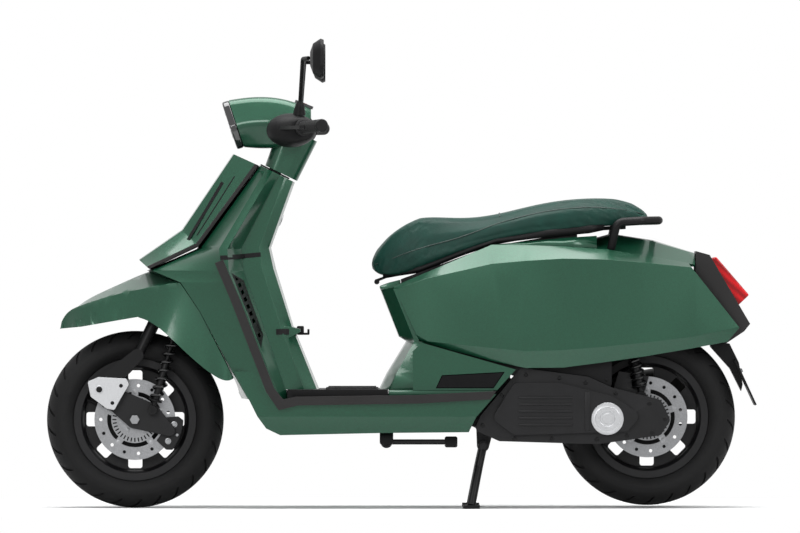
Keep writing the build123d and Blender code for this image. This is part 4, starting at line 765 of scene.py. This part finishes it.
# Headlamp: a smoked polycarbonate lens over a row of light modules, sealed into the nacelle's front.
# A slim daylight bar runs across the lens, with a pair of round modules under it.
# Smoked polycarbonate: almost black and mirror-smooth, with a faint change of depth over 33 mm.
smoked, tree, skin, where = new_finish(
    "smoked_polycarbonate", "#121214", Roughness=0.07, IOR=1.58, Coat_Weight=0.6,
)
depth = put(tree, "ShaderNodeTexNoise", {"Scale": 30.0, "Detail": 2.0}, where)
tint(tree, skin, depth, "#0d0d0f", "#1a1a1d")
dressed("headlamp", smoked, 5.0, 30, 4)
# Lamp glass: pale and glossy, with moulded flutes 5 mm apart that are not shaped but painted as bands of
# highlight and shade.
lit_glass, tree, skin, where = new_finish(
    "clear_lamp_glass", "#d9dde0", Roughness=0.06, IOR=1.52, Coat_Weight=0.5,
)
# Painted highlight and shade: the flutes show only as pale and darker bands in the glass's colour.
flute_glints = put(tree, "ShaderNodeTexWave", {"Scale": 60.0, "Distortion": 0.0}, where, bands_direction="Y")
tint(tree, skin, flute_glints, "#b4b9bd", "#eef1f3")
bar, rings = bmesh.new(), bmesh.new()
hits = [touch("headlamp", (700, y, 1052), (-1, 0, 0)) for y in (-62, -40, -20, 0, 20, 40, 62)]
add_strip(bar, hits, 9, 0.8)
for y in (-30, 30):
    place, facing = touch("headlamp", (700, y, 1008), (-1, 0, 0))
    add_turned(rings, [(19, -1), (22, -1), (22, 0.8), (20.5, 1.4), (19, 0.8)], aimed(place, facing), 40,
               True)
    add_turned(bar, [(0, 1.0), (8, 0.8), (13, 0.2), (15, -1), (0, -1)], aimed(place, facing), 32)
fit("lamp_glass", bar, lit_glass, "steering")
fit("lamp_rings", rings, satin, "steering")

# Instruments: a dark glass panel in the top of the nacelle, with a printed scale and a needle.
# The scale is plain strokes round an arc.
dressed("instrument_panel", smoked, 2.5, 30, 3)
PANEL_UP = Vector((-0.371, 0, 0.928))
PANEL_TOP = Vector((262, 0, 1074)) + PANEL_UP * 8
# White print: a matt screen-printed ink, 1 mm flecks of it a little thinner.
print_white, tree, skin, where = new_finish("white_print", "#d8d8d4", Roughness=0.5, IOR=1.5)
fleck = put(tree, "ShaderNodeTexNoise", {"Scale": 900.0, "Detail": 2.0}, where)
tint(tree, skin, fleck, "#c6c6c2", "#e4e4e0")
scale = bmesh.new()
across_panel = Matrix(((0, 0.928, -0.371), (-1, 0, 0), (0, 0.371, 0.928)))
dial = Matrix.Translation(PANEL_TOP / 1000) @ across_panel.to_4x4()
for k in range(25):
    long = 0.005 if k % 3 == 0 else 0.003
    out = Matrix.Translation((0.020 - long / 2, 0, 0.0001)) @ Matrix.Diagonal((long, 0.0008, 0.0006, 1))
    stroke = Matrix.Rotation(math.radians(210 - 240 * k / 24), 4, "Z") @ out
    bmesh.ops.create_cube(scale, size=1.0, matrix=dial @ stroke)
fit("dial_strokes", scale, print_white, "steering")
pointer = bmesh.new()
out = Matrix.Translation((0.007, 0, 0.0004)) @ Matrix.Diagonal((0.016, 0.0012, 0.0008, 1))
needle = Matrix.Rotation(math.radians(205), 4, "Z") @ out
bmesh.ops.create_cube(pointer, size=1.0, matrix=dial @ needle)
add_turned(pointer, [(0, 1.2), (2, 1), (2.4, 0), (0, 0)], dial, 16)
fit("dial_needle", pointer, switch_red, "steering")

# Mirrors: moulded shells on bent steel stems, each stem in a rubber boot on the switch housing.
# The glass is silvered on its back, so it shows a clean image, hazy only in smears about 55 mm wide.
dressed("mirrors", black_plastic, 2.0, 30, 3)
mirror_glass, tree, skin, where = new_finish(
    "silvered_mirror_glass", "#d6d8da", Metallic=1.0, Roughness=0.03,
)
smear = put(tree, "ShaderNodeTexNoise", {"Scale": 18.0, "Detail": 4.0}, where)
roughen(tree, skin, smear, 0.02, 0.07)
tint(tree, skin, smear, "#cfd2d4", "#dfe1e2")
dressed("mirror_glasses", mirror_glass, 0.4)

# Seat: a foam cushion in dark green leather on a moulded pan that is hinged at the front.
# The cover is sewn from a top and two sides, with piping in the seams and a seam across the step.
dressed("seat_base", black_plastic, 1.5)
# Each row of the skirt is x, the pan's height and half width there, and the skirt's rise and drop.
SKIRT_LINE = (
    (48, 622, 96, 3, -8), (-48, 640, 128, 5, -12), (-150, 680, 146, 5, -11), (-253, 714, 158, 5, -7),
    (-392, 738, 164, 5, -14), (-503, 750, 154, 5, -16), (-540, 752, 146, 5, -10),
)
skirt = bmesh.new()
for hand in (1, -1):
    upper = [(x, hand * (wide - 13), pan + rise) for x, pan, wide, rise, drop in SKIRT_LINE]
    lower = [(x, hand * (wide - 15), pan + drop) for x, pan, wide, rise, drop in SKIRT_LINE]
    add_band(skirt, (upper, lower))
thicken(fit("seat_skirt", skirt, black_plastic, "seat"), 2.5, 0.0)
# Leather: a pebble of about 1.8 mm, darker in its creases, with a soft sheen where it is stretched.
leather, tree, skin, where = new_finish(
    "dark_green_leather", "#072a23", Roughness=0.44, IOR=1.45, Specular_IOR_Level=0.22,
)
pebble = put(tree, "ShaderNodeTexVoronoi", {"Scale": 560.0}, where)
emboss(tree, skin, pebble, 0.3, 0.0005, "Distance")
hide = put(tree, "ShaderNodeTexNoise", {"Scale": 30.0, "Detail": 5.0}, where)
tint(tree, skin, hide, "#05231d", "#0b362d")
roughen(tree, skin, hide, 0.42, 0.58)
FOAM_IN, SWELL_CAP, STUFFING_FRAMES = 0.004, 0.005, 20
foam = bmesh.new()
foam.from_mesh(frame["nodes"]["seat_cushion"].data)
bmesh.ops.remove_doubles(foam, verts=foam.verts, dist=0.00002)
foam.normal_update()
for vert in foam.verts:
    vert.co -= vert.normal * (FOAM_IN if vert.normal.z > -0.3 else 0.0)
cushion = fit("seat_cover", foam, leather, "seat", ["seat_cushion"], 80)
fine = cushion.modifiers.new("even_mesh", "REMESH")
fine.mode, fine.voxel_size, fine.use_smooth_shade = "VOXEL", 0.005, True
even = bpy.data.meshes.new_from_object(cushion.evaluated_get(bpy.context.evaluated_depsgraph_get()))
cushion.modifiers.clear()
cushion.data = even
soft = bmesh.new()
soft.from_mesh(even)
for _ in range(3):
    bmesh.ops.smooth_vert(soft, verts=soft.verts, factor=0.5, use_axis_x=True, use_axis_y=True,
                          use_axis_z=True)
soft.to_mesh(even)
soft.free()
even.materials.clear()
even.materials.append(leather)
rest = [v.co.copy() for v in even.vertices]
faces_down = [v.normal.z < -0.6 for v in even.vertices]
pinned = cushion.vertex_groups.new(name="on_the_pan")
pinned.add([i for i, down in enumerate(faces_down) if down], 1.0, "REPLACE")
cloth = cushion.modifiers.new("stuffing", "CLOTH")
cloth.settings.vertex_group_mass = "on_the_pan"
cloth.settings.use_pressure = True
cloth.settings.uniform_pressure_force = 4.0
cloth.settings.effector_weights.gravity = 0.0
cloth.settings.quality = 4
cloth.point_cache.frame_start, cloth.point_cache.frame_end = 1, STUFFING_FRAMES
for moment in range(1, STUFFING_FRAMES + 1):
    bpy.context.scene.frame_set(moment)
swollen = cushion.evaluated_get(bpy.context.evaluated_depsgraph_get()).to_mesh()
moves = [v.co - at_rest for v, at_rest in zip(swollen.vertices, rest)]
cushion.modifiers.clear()
bpy.context.scene.frame_set(1)
for vert, at_rest, move in zip(even.vertices, rest, moves):
    vert.co = at_rest + move.normalized() * min(move.length, SWELL_CAP)
for face in even.polygons:
    face.use_smooth = True
smoothing = cushion.modifiers.new("leather_curve", "SUBSURF")
smoothing.levels = smoothing.render_levels = 1


def on_cover(start, heading):
    """Where a line meets the finished cover, in millimetres."""
    place, facing, _, _ = cover_surface.ray_cast(Vector(start) / 1000, Vector(heading).normalized())
    return place * 1000, facing


cover_surface = BVHTree.FromPolygons([v.co for v in even.vertices], [p.vertices for p in even.polygons])
SIDE_SEAM = (
    (70, 650), (30, 664), (-20, 684), (-80, 702), (-140, 717), (-200, 738), (-263, 762), (-330, 780),
    (-391, 793), (-450, 800), (-503, 803), (-560, 800), (-610, 793), (-645, 784),
)
seams = [[on_cover((x, 400 * hand, z), (0, -hand, 0)) for x, z in SIDE_SEAM] for hand in (1, -1)]
seams.append([on_cover((-262, y, 1000), (0, 0, -1)) for y in (-120, -90, -60, -30, 0, 30, 60, 90, 120)])
# Piping: the same hide rolled round a cord, with a pebble of 1.4 mm.
thread, tree, skin, where = new_finish("leather_piping", "#132620", Roughness=0.45, IOR=1.45)
twist = put(tree, "ShaderNodeTexNoise", {"Scale": 700.0, "Detail": 2.0}, where)
emboss(tree, skin, twist, 0.3, 0.0003)
tint(tree, skin, twist, "#061a15", "#0d2c25")
for number, hits in enumerate(seams):
    line = bpy.data.curves.new("seam_line", "CURVE")
    line.dimensions = "3D"
    spline = line.splines.new("NURBS")
    spline.points.add(len(hits) - 1)
    for point, (place, facing) in zip(spline.points, hits):
        point.co = (*((place + facing * 0.4) / 1000), 1.0)
    spline.order_u, spline.use_endpoint_u = 3, True
    line.bevel_depth, line.bevel_resolution, line.use_fill_caps = 0.0019, 2, True
    route = bpy.data.objects.new("seam_line", line)
    bpy.context.scene.collection.objects.link(route)
    tube = bpy.data.meshes.new_from_object(route.evaluated_get(bpy.context.evaluated_depsgraph_get()))
    bpy.data.objects.remove(route)
    sewn = bmesh.new()
    sewn.from_mesh(tube)
    fit(f"seat_piping_{number + 1}", sewn, thread, "seat")

# Studio: a white paper floor that keeps the shadow near the scooter and fades into a white backdrop.
# Three soft boxes light it from above and from the camera's side.
floor_shape = bmesh.new()
bmesh.ops.create_circle(floor_shape, cap_ends=True, cap_tris=False, segments=96, radius=60.0)
floor_mesh = bpy.data.meshes.new("studio_floor")
floor_shape.to_mesh(floor_mesh)
floor_shape.free()
floor = bpy.data.objects.new("studio_floor", floor_mesh)
bpy.context.scene.collection.objects.link(floor)
paper = bpy.data.materials.new("studio_paper")
paper.use_nodes = True
tree = paper.node_tree
tree.nodes.clear()
where = put(tree, "ShaderNodeTexCoord")
reach = put(tree, "ShaderNodeMapping", {"Scale": (0.55, 0.8, 1.0)}, {"Vector": (where, "Object")})
spread = put(tree, "ShaderNodeVectorMath", links={0: (reach, "Vector")}, operation="LENGTH")
fade = put(tree, "ShaderNodeMapRange", {"From Min": 0.5, "From Max": 1.1}, {"Value": (spread, "Value")})
matte = put(tree, "ShaderNodeBsdfDiffuse", {"Color": hex_colour("#f4f4f4")})
glow = put(tree, "ShaderNodeEmission", {"Color": (1, 1, 1, 1), "Strength": 1.0})
mix = put(tree, "ShaderNodeMixShader",
          links={0: (fade, "Result"), 1: (matte, "BSDF"), 2: (glow, "Emission")})
put(tree, "ShaderNodeOutputMaterial", links={"Surface": (mix, "Shader")})
floor_mesh.materials.append(paper)

# The world is white to the camera and in reflections, and a dimmer grey as a light.
world = bpy.data.worlds.new("studio")
bpy.context.scene.world = world
world.use_nodes = True
tree = world.node_tree
tree.nodes.clear()
path = put(tree, "ShaderNodeLightPath")
seen = put(tree, "ShaderNodeMath", links={0: (path, "Is Camera Ray"), 1: (path, "Is Glossy Ray")},
           operation="ADD")
seen = put(tree, "ShaderNodeMath", links={0: (seen, "Value"), 1: (path, "Is Transmission Ray")},
           operation="ADD", use_clamp=True)
soft_light = put(tree, "ShaderNodeBackground", {"Color": (0.93, 0.95, 0.96, 1), "Strength": 0.36})
white = put(tree, "ShaderNodeBackground", {"Color": (1, 1, 1, 1), "Strength": 1.0})
mix = put(tree, "ShaderNodeMixShader",
          links={0: (seen, "Value"), 1: (soft_light, "Background"), 2: (white, "Background")})
put(tree, "ShaderNodeOutputWorld", links={"Surface": (mix, "Shader")})


def soft_box(name, place, target, size, power):
    """A studio lamp of this size pointed at a target."""
    data = bpy.data.lights.new(name, "AREA")
    data.shape = "RECTANGLE"
    data.size, data.size_y = size
    data.energy = power
    lamp = bpy.data.objects.new(name, data)
    bpy.context.scene.collection.objects.link(lamp)
    lamp.location = place
    lamp.rotation_euler = (Vector(target) - Vector(place)).to_track_quat("-Z", "Y").to_euler()


soft_box("top_lamp", (0.0, 0.3, 3.4), (0, 0, 0.4), (3.6, 2.4), 190)
soft_box("front_lamp", (1.8, 4.2, 2.2), (0, 0, 0.6), (1.6, 1.6), 70)
soft_box("rear_lamp", (-2.6, 2.6, 1.9), (0, 0, 0.6), (1.2, 1.6), 40)

# Camera: 30 m away on the left side with a long lens, because the view is almost without perspective.
view = bpy.data.cameras.new("photo_view")
view.sensor_width = 36.0
view.lens = 504.5
view.clip_end = 200.0
eye = bpy.data.objects.new("photo_view", view)
bpy.context.scene.collection.objects.link(eye)
eye.location = (0.004, 30.0, 0.645)
eye.rotation_euler = (math.radians(90), 0, math.radians(180))
bpy.context.scene.camera = eye
bpy.context.scene.view_settings.view_transform = "Standard"
